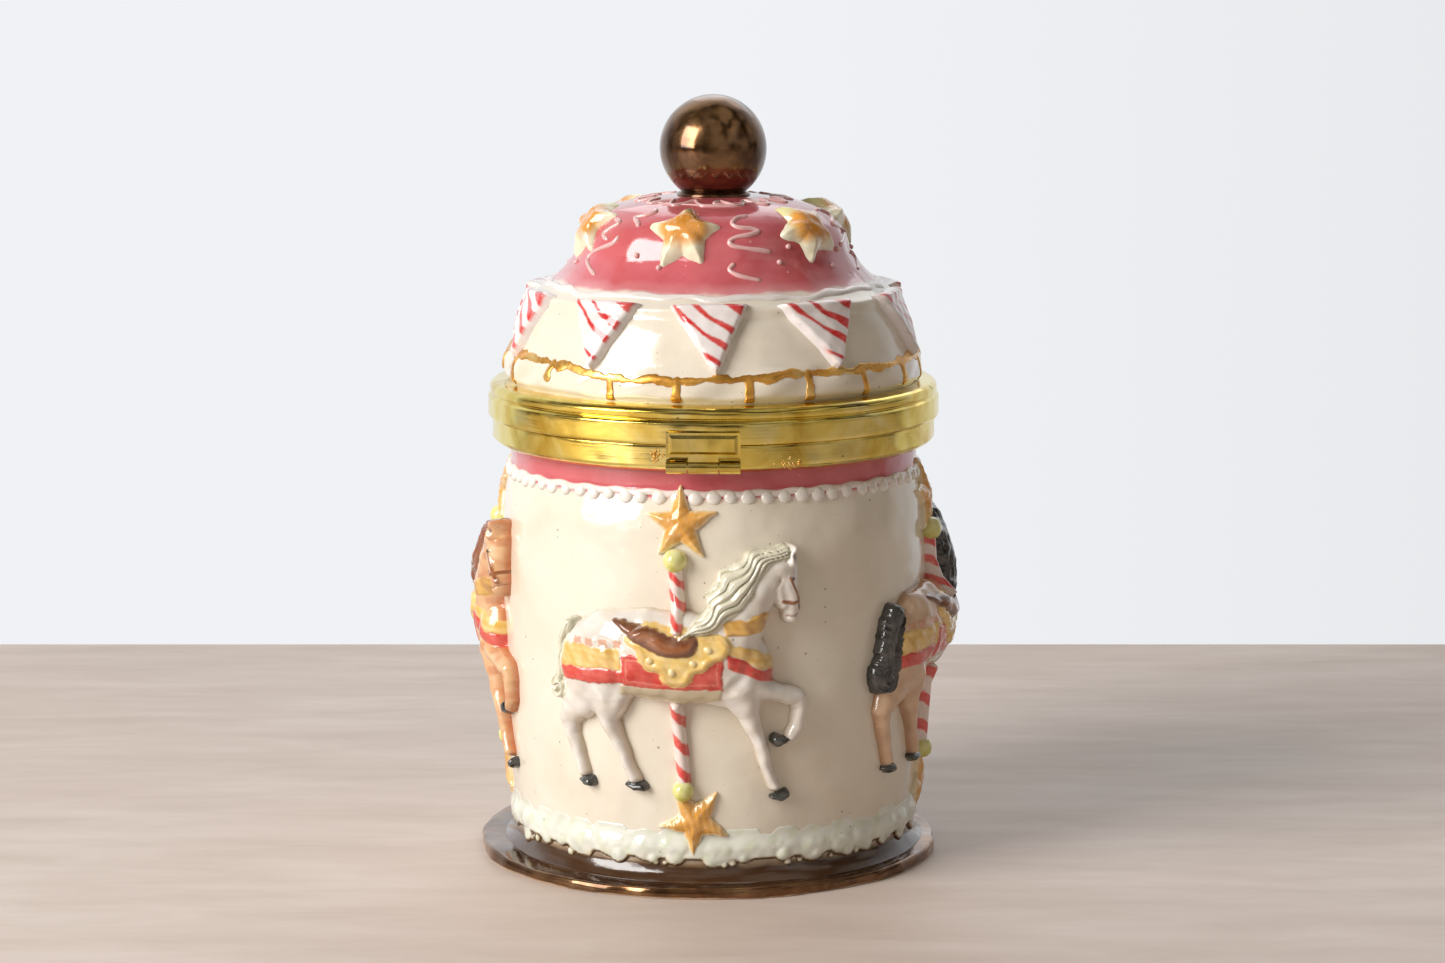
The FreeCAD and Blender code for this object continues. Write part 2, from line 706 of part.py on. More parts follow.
across = Size("winding_across")
train_depth = Size("train_depth")
governor_depth = train_depth - wheel_radius - governor_pinion_radius
cylinder_start = -21.0
cylinder_end = cylinder_start + Size("cylinder_length")
arbor_radius = 0.8
governor_arbor_radius = 0.6
frame_left, frame_right = -30.2, -28.8
worm_across = -24.6
worm_depth = governor_depth - worm_wheel_radius - 1.6


def make_false_floor():
    radius = DIMENSIONS["mouth_radius"] - 0.5
    top = Size("ledge_level", 3.0)
    turned("false_floor", [(0, Size("ledge_level")), (radius, Size("ledge_level")), (radius, top), (0, top)])
    turned("felt_pad", [(0, top), (radius - 1, top), (radius - 1, Size("ledge_level", 4.5)),
                        (0, Size("ledge_level", 4.5))])


def make_bedplate():
    bed = plate("bedplate", [(-31.0, -23.0), (26.0, -23.0), (29.0, -20.0), (29.0, 18.0), (26.0, 19.0),
                             (-28.0, 19.0), (-31.0, 16.0)],
                floor_top, Size("bedplate_thickness"))
    holes = [(Size("winding_across"), Size("train_depth"), 1.5 + DIMENSIONS["running_clearance"])]
    holes += [(hole[0], hole[1], screw_radius) for hole in movement_screws]
    drill(bed, holes)
    head_radius, head_height = 2.4, 1.4
    foot = DIMENSIONS["floor_level"]
    screws = []
    for place in movement_screws:
        head = Part.makeCylinder(head_radius, head_height, Vector(*place, foot - head_height))
        shank = Part.makeCylinder(screw_radius, bed_top - foot, Vector(*place, foot))
        screws.append(head.fuse(shank).removeSplitter().Solids[0])
    shaped("movement_screws", Part.makeCompound(screws))


def make_spring_drive():
    """The mainspring in its housing, and the winding arbor with the crown wheel on top."""
    outer, height, skin = 12.0, 6.5, 0.9
    arbor = 1.5
    housing = rod("housing_can", (across, train_depth, bed_top), outer, height)
    hollow = rod("housing_hollow", (across, train_depth, bed_top + skin), outer - skin, height - 2 * skin)
    bore = rod("housing_bore", (across, train_depth, bed_top - 1), arbor + DIMENSIONS["running_clearance"],
               height + 2)
    keep(cut("spring_housing", housing, fuse("housing_space", [hollow, bore])), "spring_housing")
    turns, inner_radius, strip = 7, 2.4, 0.35
    steps = 24
    growth = (outer - skin - 0.6 - inner_radius) / (turns * steps)
    line = []
    for side in (0, 1):
        run = []
        for step in range(turns * steps + 1):
            radius = inner_radius + growth * step + strip * side
            angle = 2 * math.pi * step / steps
            run.append(Vector(radius * math.cos(angle), radius * math.sin(angle), 0))
        line += run if side == 0 else run[::-1]
    spring = Part.Face(Part.makePolygon(line + line[:1])).extrude(Vector(0, 0, height - 2 * skin - 0.6))
    spring.translate(Vector(across, train_depth, bed_top + skin + 0.3))
    shaped("mainspring", spring)
    crown_low = bed_top + height + 0.4
    crown_pitch = arbor_level - pinion_radius
    shaft_low = 9.0
    shaft = Part.makeCylinder(arbor, crown_low - shaft_low + 0.5, Vector(across, train_depth, shaft_low))
    web = Part.makeCylinder(crown_radius + 1.0, crown_pitch - 0.75 - crown_low,
                            Vector(across, train_depth, crown_low))
    wheel = shaft.fuse(web)
    teeth = []
    tooth_width, tooth_length = 0.6, 2.0
    for number in range(CROWN_TEETH):
        tooth = Part.makeBox(tooth_length, tooth_width, 1.3, Vector(crown_radius - 1.0, -tooth_width / 2, 0))
        # Half a pitch on from the direction of the pinion, so that a gap faces it.
        tooth.rotate(Vector(), Vector(0, 0, 1), 180 + 360 * (number + 0.5) / CROWN_TEETH)
        tooth.translate(Vector(across, train_depth, crown_pitch - 0.8))
        teeth.append(tooth)
    shaped("winding_arbor", wheel.fuse(teeth).removeSplitter())


def make_key():
    """The butterfly key under the floor, on the end of the winding arbor."""
    hub = rod("key_hub", (across, train_depth, 2.0), 2.8, 10.4)
    bore = rod("key_bore", (across, train_depth, 9.0), 1.5, 5.0)
    wing_low, wing_high, thickness = 1.6, 9.0, 1.8
    wings = [hub]
    for name, side in (("left", -1), ("right", 1)):
        wing = doc.addObject("Part::Cylinder", "key_wing_" + name)
        wing.Radius = (wing_high - wing_low) / 2
        wing.Height = thickness
        wing.Placement = Placement(
            Vector(across + side * 6.2, train_depth + thickness / 2, (wing_low + wing_high) / 2),
            Rotation(Vector(1, 0, 0), 90))
        wings.append(wing)
    wings.append(box("key_web", (across - 6.2, train_depth - thickness / 2, 3.4),
                     (across + 6.2, train_depth + thickness / 2, 7.2)))
    keep(cut("winding_key", fuse("key_stock", wings), bore), "winding_key")


def make_cylinder():
    """The pinned cylinder on its arbor, with the pinion at one end and a wheel at the other."""
    radius = DIMENSIONS["cylinder_radius"]
    length = DIMENSIONS["cylinder_length"]
    start, along = Vector(cylinder_start, train_depth, arbor_level), Vector(1, 0, 0)
    barrel = Part.makeCylinder(radius, length, start, along)
    bore = Part.makeCylinder(arbor_radius, length, start, along)
    pins = []
    pin, rows = 0.22, int(DIMENSIONS["comb_teeth"])
    spacing = (length - 2.0) / rows
    golden_turn = 137.5
    for row in range(rows):
        for beat in range(3):
            spike = Part.makeCylinder(pin, radius + 0.5, Vector(), Vector(0, 0, 1))
            spike.rotate(Vector(), Vector(1, 0, 0), golden_turn * (row * 3 + beat) + 60)
            spike.translate(Vector(cylinder_start + 1.0 + spacing * (row + 0.5), train_depth, arbor_level))
            pins.append(spike)
    shaped("pinned_cylinder", barrel.fuse(pins).cut(bore))
    shaft = Part.makeCylinder(arbor_radius, 6.6 - frame_left, Vector(frame_left, train_depth, arbor_level),
                              Vector(1, 0, 0))
    # A tooth of the pinion points straight down into the crown wheel's gap.
    pinion = gear_along_x(gear_wire(PINION_TEETH, pinion_radius, 0.5, 0.9, 0.4, 0.6),
                          across - crown_radius - 1.0, train_depth, arbor_level, 2.0)
    wheel = gear_along_x(gear_wire(WHEEL_TEETH, wheel_radius, 0.45, 0.6, 0.35, 0.55, 90),
                         cylinder_start - 2.2, train_depth, arbor_level, 1.4)
    shaped("cylinder_arbor", shaft.fuse([pinion, wheel]).removeSplitter())


def make_comb():
    teeth = int(DIMENSIONS["comb_teeth"])
    low, thickness = arbor_level - 0.6, 1.2
    left, right = cylinder_start, cylinder_end
    root, back = 8.0, 16.0
    tip = train_depth + DIMENSIONS["cylinder_radius"] + 0.5 + 0.15
    spacing = (right - left - 2.0) / teeth
    slit = 0.3
    outline = [(left, back), (left, root)]
    for tooth in range(teeth):
        start = left + 1.0 + spacing * tooth
        outline += [(start + slit / 2, root), (start + slit / 2, tip), (start + spacing - slit / 2, tip),
                    (start + spacing - slit / 2, root)]
    outline += [(right, root), (right, back)]
    points = [Vector(x, y, low) for x, y in outline]
    comb = Part.Face(Part.makePolygon(points + points[:1])).extrude(Vector(0, 0, thickness))
    places = [(left + 4.0, 12.5), (right - 4.0, 12.5)]
    screws = []
    holes = []
    for place in places:
        holes.append(Part.makeCylinder(1.0, 20, Vector(*place, low - 6)))
        stem = Part.makeCylinder(1.0, thickness + 5, Vector(*place, low - 5))
        head = Part.makeCylinder(1.9, 1.1, Vector(*place, low + thickness))
        slot = Part.makeBox(4, 0.5, 0.5, Vector(place[0] - 2, place[1] - 0.25, low + thickness + 0.6))
        screws.append(stem.fuse(head).cut(slot).removeSplitter().Solids[0])
    shaped("comb", comb.cut(holes))
    shaped("comb_screws", Part.makeCompound(screws))
    block = Part.makeBox(right - left, back - 9.5, low - bed_top, Vector(left, 9.5, bed_top))
    shaped("comb_block", block.cut([Part.makeCylinder(1.0, 20, Vector(*place, low - 5)) for place in places]))


def make_governor():
    """The bearings of the train, the governor's wheel, and its worm with the air brake."""
    clear = DIMENSIONS["running_clearance"]
    top = 38.8
    along = Vector(1, 0, 0)
    side = Part.makeBox(frame_right - frame_left, 18.0, top - bed_top, Vector(frame_left, -21.0, bed_top))
    arm = Part.makeBox(worm_across + 2.0 - frame_left, 4.0, 1.2,
                       Vector(frame_left, worm_depth - 2.0, top - 1.2))
    bores = [
        Part.makeCylinder(arbor_radius + clear, 4, Vector(frame_left - 1, train_depth, arbor_level), along),
        Part.makeCylinder(governor_arbor_radius + clear, 4,
                          Vector(frame_left - 1, governor_depth, arbor_level), along),
        Part.makeCylinder(0.5 + clear, 4, Vector(worm_across, worm_depth, top - 2)),
    ]
    shaped("governor_frame", side.fuse(arm).cut(bores).removeSplitter())
    post = Part.makeBox(1.4, 4.0, arbor_level + 2 - bed_top, Vector(-0.2, train_depth - 2.0, bed_top))
    post_bore = Part.makeCylinder(arbor_radius + clear, 4, Vector(-1, train_depth, arbor_level), along)
    small = Part.makeBox(1.0, 2.6, arbor_level + 1.4 - bed_top, Vector(-21.4, governor_depth - 1.5, bed_top))
    small_bore = Part.makeCylinder(governor_arbor_radius + clear, 4,
                                   Vector(-23, governor_depth, arbor_level), along)
    shaped("bearing_posts", Part.makeCompound([post.cut(post_bore), small.cut(small_bore)]))
    shaft = Part.makeCylinder(governor_arbor_radius, -20.6 - frame_left,
                              Vector(frame_left, governor_depth, arbor_level), along)
    # A gap of this pinion faces the wheel's tooth: the two stand side by side along Y.
    pinion = gear_along_x(gear_wire(GOVERNOR_PINION_TEETH, governor_pinion_radius, 0.4, 0.6, 0.3, 0.45,
                                    90 + 180 / GOVERNOR_PINION_TEETH),
                          cylinder_start - 2.2, governor_depth, arbor_level, 1.4)
    wheel = gear_along_x(gear_wire(WORM_WHEEL_TEETH, worm_wheel_radius, 0.35, 0.5, 0.3, 0.6),
                         worm_across - 0.6, governor_depth, arbor_level, 1.2)
    shaped("governor_wheel", shaft.fuse([pinion, wheel]).removeSplitter())
    spindle = Part.makeCylinder(0.5, top - bed_top, Vector(worm_across, worm_depth, bed_top))
    worm = Part.makeCylinder(1.1, 6.6, Vector(worm_across, worm_depth, arbor_level - 3.3))
    fan = Part.makeBox(7.2, 0.5, 5.0, Vector(worm_across - 3.6, worm_depth - 0.25, bed_top + 1.2))
    shaped("air_brake", spindle.fuse([worm, fan]).removeSplitter())


make_base_disc()
make_pot()
make_trims()
make_poles(make_horses())
make_lid_shell()
make_knob()
make_flags()
make_dome_stars()
make_rims()
make_clasp()
make_hinge()
make_false_floor()
make_bedplate()
make_spring_drive()
make_key()
make_cylinder()
make_comb()
make_governor()
doc.recompute()

# Nothing is written unless every object and every sub-part came out right.
for thing in doc.Objects:
    if any(word in thing.State for word in ("Invalid", "Error")):
        raise RuntimeError("%s failed: %s" % (thing.Label, thing.State))
for piece in subparts:
    if piece.Shape.isNull() or not piece.Shape.isValid() or not piece.Shape.Solids:
        raise RuntimeError("%s has no valid solid" % piece.Label)

os.makedirs("parts", exist_ok=True)
for piece in subparts:
    piece.Shape.exportStep("parts/%s.step" % piece.Label)
print("%d sub-parts written" % len(subparts))
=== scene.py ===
import math

import bpy
import numpy as np
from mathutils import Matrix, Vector
from mathutils.bvhtree import BVHTree


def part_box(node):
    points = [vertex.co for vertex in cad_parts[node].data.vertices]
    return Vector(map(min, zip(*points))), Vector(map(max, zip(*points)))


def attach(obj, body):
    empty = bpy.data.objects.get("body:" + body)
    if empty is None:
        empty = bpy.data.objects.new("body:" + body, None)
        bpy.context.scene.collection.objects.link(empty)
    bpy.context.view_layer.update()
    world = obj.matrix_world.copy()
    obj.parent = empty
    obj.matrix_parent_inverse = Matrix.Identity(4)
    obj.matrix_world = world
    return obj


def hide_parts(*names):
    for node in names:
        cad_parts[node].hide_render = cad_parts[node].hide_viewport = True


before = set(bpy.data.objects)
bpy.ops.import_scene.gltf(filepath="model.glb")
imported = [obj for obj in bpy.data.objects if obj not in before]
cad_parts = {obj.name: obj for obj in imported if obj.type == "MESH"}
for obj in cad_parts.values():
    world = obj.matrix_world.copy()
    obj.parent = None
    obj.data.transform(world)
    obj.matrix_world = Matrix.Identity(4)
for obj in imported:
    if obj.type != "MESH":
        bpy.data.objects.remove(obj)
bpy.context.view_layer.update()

MM = 0.001
TAU = 2 * math.pi
WALL_ARC = 59.0
DECOR_TURN = -8.3
DECOR_SIDES = {"front": 0, "right": 90, "back": 180, "left": 270}


# ---- Colours, noise and signed distances ----


def colour(red, green, blue):
    """A display colour of 0 to 255 as linear light."""
    parts = np.array([red, green, blue], float) / 255
    return np.where(parts <= 0.04045, parts / 12.92, ((parts + 0.055) / 1.055) ** 2.4)


RIPPLE_WAVES = 6


def ripple(u, v, seed, size):
    """Smooth seeded unevenness of about 1 each way, with features of a size."""
    draws = np.random.default_rng(seed)
    total = np.zeros(np.broadcast(u, v).shape)
    for _ in range(RIPPLE_WAVES):
        angle, phase, stretch = draws.uniform(0, TAU), draws.uniform(0, TAU), draws.uniform(0.6, 1.6)
        rate = TAU / (size * stretch)
        total += np.sin(rate * (u * math.cos(angle) + v * math.sin(angle)) + phase)
    return total / math.sqrt(RIPPLE_WAVES)


def around_ripple(angle, level, seed, orders, tall):
    """The same unevenness round an axis: it closes on itself after a full turn."""
    draws = np.random.default_rng(seed)
    total = np.zeros(np.broadcast(angle, level).shape)
    for order in orders:
        phase, lean = draws.uniform(0, TAU), draws.uniform(-1, 1)
        total += np.sin(order * angle + phase + lean * level * TAU / tall)
    return total / math.sqrt(len(orders))


def step_up(x, low, high):
    t = np.clip((x - low) / (high - low), 0, 1)
    return t * t * (3 - 2 * t)


def mix(base, over, share):
    """Two colours, each one or one per point, mixed by a share per point."""
    return base + (over - base) * share[..., None]


def smooth_points(points, closed, per_side=6):
    """A Catmull-Rom line through points."""
    p = np.array(points, float)
    if closed:
        before, after, later = np.roll(p, 1, 0), np.roll(p, -1, 0), np.roll(p, -2, 0)
    else:
        before, after, later = np.vstack([p[:1], p[:-1]])[:-1], p[1:], np.vstack([p[2:], p[-1:]])
        p = p[:-1]
    t = np.linspace(0, 1, per_side, endpoint=False)[:, None, None]
    curve = 0.5 * (2 * p + (after - before) * t + (2 * before - 5 * p + 4 * after - later) * t ** 2
                   + (3 * p - before - 3 * after + later) * t ** 3)
    line = curve.transpose(1, 0, 2).reshape(-1, p.shape[1])
    return line if closed else np.vstack([line, np.array(points[-1:], float)])


def outline_distance(u, v, points):
    """Distance to a closed outline, less than 0 inside."""
    p = np.array(points, float)
    best = np.full(u.shape, 1e9)
    inside = np.zeros(u.shape, bool)
    for (x0, y0), (x1, y1) in zip(p, np.roll(p, -1, 0)):
        dx, dy = x1 - x0, y1 - y0
        t = np.clip(((u - x0) * dx + (v - y0) * dy) / (dx * dx + dy * dy + 1e-12), 0, 1)
        best = np.minimum(best, (u - x0 - dx * t) ** 2 + (v - y0 - dy * t) ** 2)
        if abs(dy) > 1e-9:
            crosses = (y0 > v) != (y1 > v)
            inside ^= crosses & (u < x0 + dx * (v - y0) / dy)
    best = np.sqrt(best)
    return np.where(inside, -best, best)


def line_distance(u, v, points):
    """Distance to an open line, the share of its length there, and which side."""
    p = np.array(points, float)
    lengths = np.hypot(*np.diff(p, axis=0).T)
    starts = np.concatenate([[0], np.cumsum(lengths)])
    best = np.full(u.shape, 1e9)
    share = np.zeros(u.shape)
    side = np.zeros(u.shape)
    for k in range(len(p) - 1):
        dx, dy = p[k + 1] - p[k]
        t = np.clip(((u - p[k, 0]) * dx + (v - p[k, 1]) * dy) / (dx * dx + dy * dy + 1e-12), 0, 1)
        off_u, off_v = u - p[k, 0] - dx * t, v - p[k, 1] - dy * t
        d = np.hypot(off_u, off_v)
        nearer = d < best
        best = np.where(nearer, d, best)
        share = np.where(nearer, (starts[k] + t * lengths[k]) / starts[-1], share)
        side = np.where(nearer, np.sign(dx * off_v - dy * off_u), side)
    return best, share, side


def limb(u, v, chain):
    """A string of domes (along, up, radius, height) run together: distance and height."""
    distance = np.full(u.shape, 1e9)
    height = np.zeros(u.shape)
    for (x0, y0, r0, h0), (x1, y1, r1, h1) in zip(chain[:-1], chain[1:]):
        dx, dy = x1 - x0, y1 - y0
        t = np.clip(((u - x0) * dx + (v - y0) * dy) / (dx * dx + dy * dy + 1e-12), 0, 1)
        radius, top = r0 + (r1 - r0) * t, h0 + (h1 - h0) * t
        d = np.hypot(u - x0 - dx * t, v - y0 - dy * t)
        distance = np.minimum(distance, d - radius)
        height = np.maximum(height, top * np.sqrt(np.clip(1 - (d / radius) ** 2, 0, 1)))
    return distance, height


def join(first, second, blend=1.0):
    """Two limbs run into each other: the distances and the heights both blend."""
    (d0, h0), (d1, h1) = first, second
    near = np.clip(blend - np.abs(d0 - d1), 0, None)
    over = np.clip(blend - np.abs(h0 - h1), 0, None) * np.clip(np.minimum(h0, h1), 0, 1)
    return (np.minimum(d0, d1) - near ** 2 / (4 * blend),
            np.maximum(h0, h1) + over ** 2 / (4 * blend))


# ---- Meshes ----


def make_mesh(name, points, faces, paint=None, smooth=True):
    """A mesh object from points in millimetres and faces of 4 corners, or 3 where the last is -1."""
    counts = np.where(faces[:, 3] < 0, 3, 4)
    corners = faces.reshape(-1)
    corners = corners[corners >= 0]
    mesh = bpy.data.meshes.new(name)
    mesh.vertices.add(len(points))
    mesh.vertices.foreach_set("co", (np.asarray(points) * MM).astype(np.float32).ravel())
    mesh.loops.add(len(corners))
    mesh.loops.foreach_set("vertex_index", corners.astype(np.int32))
    mesh.polygons.add(len(counts))
    mesh.polygons.foreach_set("loop_start", np.concatenate([[0], np.cumsum(counts)[:-1]]).astype(np.int32))
    mesh.polygons.foreach_set("loop_total", counts.astype(np.int32))
    mesh.polygons.foreach_set("use_smooth", np.full(len(counts), smooth))
    mesh.update(calc_edges=True)
    mesh.validate()
    if paint is not None:
        layer = mesh.attributes.new("paint", "FLOAT_COLOR", "POINT")
        rgba = np.ones((len(points), 4), np.float32)
        rgba[:, :3] = paint
        layer.data.foreach_set("color", rgba.ravel())
    thing = bpy.data.objects.new(name, mesh)
    bpy.context.scene.collection.objects.link(thing)
    return thing


def finish_piece(thing, body, materials, replaced=()):
    for material in materials:
        thing.data.materials.append(material)
    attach(thing, body)
    if replaced:
        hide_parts(*replaced)
    return thing


def gather(parts):
    """Several (points, faces, paint) as one."""
    points, faces, paints, start = [], [], [], 0
    for p, f, c in parts:
        points.append(p)
        faces.append(np.where(f >= 0, f + start, -1))
        paints.append(c)
        start += len(p)
    return np.vstack(points), np.vstack(faces), np.vstack(paints)


def grid_faces(rows, columns, closed_columns):
    """Quads over a grid of points, wound so that rows run up and columns run anticlockwise."""
    count = columns if closed_columns else columns - 1
    i, j = np.meshgrid(np.arange(rows - 1), np.arange(count), indexing="ij")
    k = (j + 1) % columns
    return np.stack([i * columns + j, i * columns + k, (i + 1) * columns + k, (i + 1) * columns + j],
                    -1).reshape(-1, 4)


def relief(span_u, span_v, pitch, field, place, sink=0.4, closed=False):
    """A raised shape on a wall. field(u, v) gives distance, height and paint; place puts it on the wall."""
    columns = int(round((span_u[1] - span_u[0]) / pitch)) + (0 if closed else 1)
    us = span_u[0] + np.arange(columns) * (span_u[1] - span_u[0]) / (columns if closed else columns - 1)
    vs = np.arange(span_v[0], span_v[1] + pitch / 2, pitch)
    u, v = np.meshgrid(us, vs)
    distance = field(u, v)[0]
    inside = distance < 0
    right = np.roll(inside, -1, 1)
    square = inside | right
    square[:-1] |= square[1:]
    square[-1] = False
    if not closed:
        square[:, -1] = False
    i, j = np.nonzero(square)
    k = (j + 1) % columns
    faces = np.stack([i * columns + j, i * columns + k, (i + 1) * columns + k, (i + 1) * columns + j], -1)
    slope_v, slope_u = np.gradient(distance, pitch)
    pull = np.where(inside, 0, np.clip(distance, 0, 1.5 * pitch)) / np.maximum(slope_u ** 2 + slope_v ** 2, 0.3)
    u2, v2 = u - pull * slope_u, v - pull * slope_v
    _, height, paint = field(u2, v2)
    height = np.where(inside, height, 0.0)
    used, packed = np.unique(faces, return_inverse=True)
    faces = packed.reshape(-1, 4)
    u2, v2, height, paint = (x.reshape(-1, *x.shape[2:])[used] for x in (u2, v2, height, paint))
    top = place(u2, v2, height)
    low = place(u2, v2, np.full(len(used), -sink))
    edges = np.concatenate([faces[:, [a, (a + 1) % 4]] for a in range(4)])
    code = edges[:, 0].astype(np.int64) * len(used) + edges[:, 1]
    back = edges[:, 1].astype(np.int64) * len(used) + edges[:, 0]
    rim = edges[~np.isin(code, back)]
    n = len(used)
    skirt = np.stack([rim[:, 1], rim[:, 0], rim[:, 0] + n, rim[:, 1] + n], -1)
    return (np.vstack([top, low]), np.vstack([faces, faces[:, ::-1] + n, skirt]),
            np.vstack([paint, paint]))


TUBE_CORNERS = 10


def tube(points, radii, paint):
    """A round closed tube through points, with a radius at each."""
    p = np.asarray(points, float)
    radii = np.asarray(radii, float)
    along = np.gradient(p, axis=0)
    along /= np.linalg.norm(along, axis=1)[:, None] + 1e-12
    side = np.cross(along, [0.0, 0.0, 1.0])
    side /= np.linalg.norm(side, axis=1)[:, None] + 1e-12
    up = np.cross(side, along)
    turn = np.arange(TUBE_CORNERS) * TAU / TUBE_CORNERS
    ring = (p[:, None] + radii[:, None, None] * (side[:, None] * np.cos(turn)[None, :, None]
                                                  + up[:, None] * np.sin(turn)[None, :, None]))
    points = ring.reshape(-1, 3)
    faces = grid_faces(len(p), TUBE_CORNERS, True)[:, ::-1]
    first, last = len(points), len(points) + 1
    points = np.vstack([points, p[:1], p[-1:]])
    caps = []
    for c in range(TUBE_CORNERS):
        d = (c + 1) % TUBE_CORNERS
        caps.append([first, c, d, -1])
        base = (len(p) - 1) * TUBE_CORNERS
        caps.append([last, base + d, base + c, -1])
    return points, np.vstack([faces, np.array(caps)]), np.tile(paint, (len(points), 1))


def ball_points(centre, radius, seed, rings=20, columns=32, lumps=0.05):
    """A hand-rolled ball: a globe with slight lumps."""
    lat = np.linspace(-math.pi / 2, math.pi / 2, rings + 1)[1:-1]
    lon = np.arange(columns) * TAU / columns
    a, b = np.meshgrid(lat, lon, indexing="ij")
    unit = np.stack([np.cos(a) * np.cos(b), np.cos(a) * np.sin(b), np.sin(a)], -1).reshape(-1, 3)
    unit = np.vstack([unit, [[0, 0, -1]], [[0, 0, 1]]])
    swell = 1 + lumps * ripple(unit[:, 0] * 3 + seed, unit[:, 1] * 3 + 2 * unit[:, 2], seed, 3.0)
    faces = grid_faces(rings - 1, columns, True)
    low, high = len(unit) - 2, len(unit) - 1
    base = (rings - 2) * columns
    caps = [[low, (c + 1) % columns, c, -1] for c in range(columns)]
    caps += [[high, base + c, base + (c + 1) % columns, -1] for c in range(columns)]
    return np.asarray(centre) + unit * swell[:, None] * radius, np.vstack([faces, np.array(caps)]), unit


# ---- The turned walls of the frame, which every relief is laid on ----


def section(node):
    """The outer side of a turned node: levels and radii, as rays towards the axis find it."""
    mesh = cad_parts[node].data
    tree = BVHTree.FromPolygons([v.co for v in mesh.vertices], [p.vertices for p in mesh.polygons])
    low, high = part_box(node)
    levels = np.linspace(low.z + 0.0001, high.z - 0.0001, 360)
    radii = []
    for level in levels:
        found = 0
        for turn in np.arange(24) * TAU / 24:
            out = Vector((math.sin(turn), -math.cos(turn), 0))
            hit = tree.ray_cast(out * 0.2 + Vector((0, 0, level)), -out)[0]
            if hit is not None:
                found = max(found, math.hypot(hit.x, hit.y))
        radii.append(found)
    return levels / MM, np.array(radii) / MM


class Wall:
    """The outside of a turned node, a little uneven, as a place to put things."""

    def __init__(self, node, unevenness, seed, calm):
        levels, radii = section(node)
        self.low, self.high = levels[0], levels[-1]
        self.levels = np.linspace(self.low, self.high, 600)
        radii = np.interp(self.levels, levels, radii)
        pad = 4
        kernel = np.exp(-0.5 * (np.arange(-pad, pad + 1) / 2.0) ** 2)
        kernel /= kernel.sum()
        self.radii = np.convolve(np.pad(radii, pad, "edge"), kernel, "valid")
        self.slopes = np.gradient(self.radii, self.levels)
        self.unevenness, self.seed, self.calm = unevenness, seed, calm

    def radius(self, angle, level):
        swell = around_ripple(angle, level, self.seed, (2, 3, 5, 7), 90) * self.unevenness
        swell += around_ripple(angle, level, self.seed + 1, (11, 14, 19, 23), 26) * self.unevenness * 0.28
        quiet = np.ones(np.broadcast(angle, level).shape)
        for low, high in self.calm:
            quiet *= 1 - step_up(level, low - 4, low) * (1 - step_up(level, high, high + 4))
        return np.interp(level, self.levels, self.radii) + swell * quiet

    def place(self, angle, level, height):
        """A point at an angle from the front, at a level, standing a height off the wall."""
        slope = np.clip(np.interp(level, self.levels, self.slopes), -4, 4)
        out = 1 / np.sqrt(1 + slope ** 2)
        radius = self.radius(angle, level) + height * out
        return np.stack([radius * np.sin(angle), -radius * np.cos(angle), level - height * slope * out], -1)

    def place_flat(self, centre_radius, centre_level, pitch, azimuth):
        """place() for a flat patch that leans on the wall: u across, v up its slope."""
        lean = math.radians(pitch)
        across = np.array([math.cos(azimuth), math.sin(azimuth), 0])
        out = np.array([math.sin(azimuth) * math.cos(lean), -math.cos(azimuth) * math.cos(lean), math.sin(lean)])
        up = np.array([-math.sin(azimuth) * math.sin(lean), math.cos(azimuth) * math.sin(lean), math.cos(lean)])
        centre = np.array([centre_radius * math.sin(azimuth), -centre_radius * math.cos(azimuth), centre_level])

        def put(u, v, height):
            base = centre + u[:, None] * across + v[:, None] * up
            for _ in range(12):
                r = np.hypot(base[:, 0], base[:, 1])
                level = np.clip(base[:, 2], self.low, self.high - 0.05)
                angle = np.arctan2(base[:, 0], -base[:, 1])
                gap = r - self.radius(angle, level)
                rate = math.cos(lean) - np.clip(np.interp(level, self.levels, self.slopes), -6, 2) * math.sin(lean)
                base = base - np.clip(gap / rate, -3, 3)[:, None] * out
            return base + height[:, None] * out

        return put


pot = Wall("pot_shell", 0.22, 11, [(0, 9), (110, 118)])
lid = Wall("lid_shell", 0.32, 23, [(118, 128), (174, 178)])


def on_pot(azimuth):
    """Reliefs on the pot: u runs along the wall to the right of an azimuth, v is the level."""
    return lambda u, v, height: pot.place(math.radians(azimuth) + u / WALL_ARC, v, height)


# ---- Node trees ----


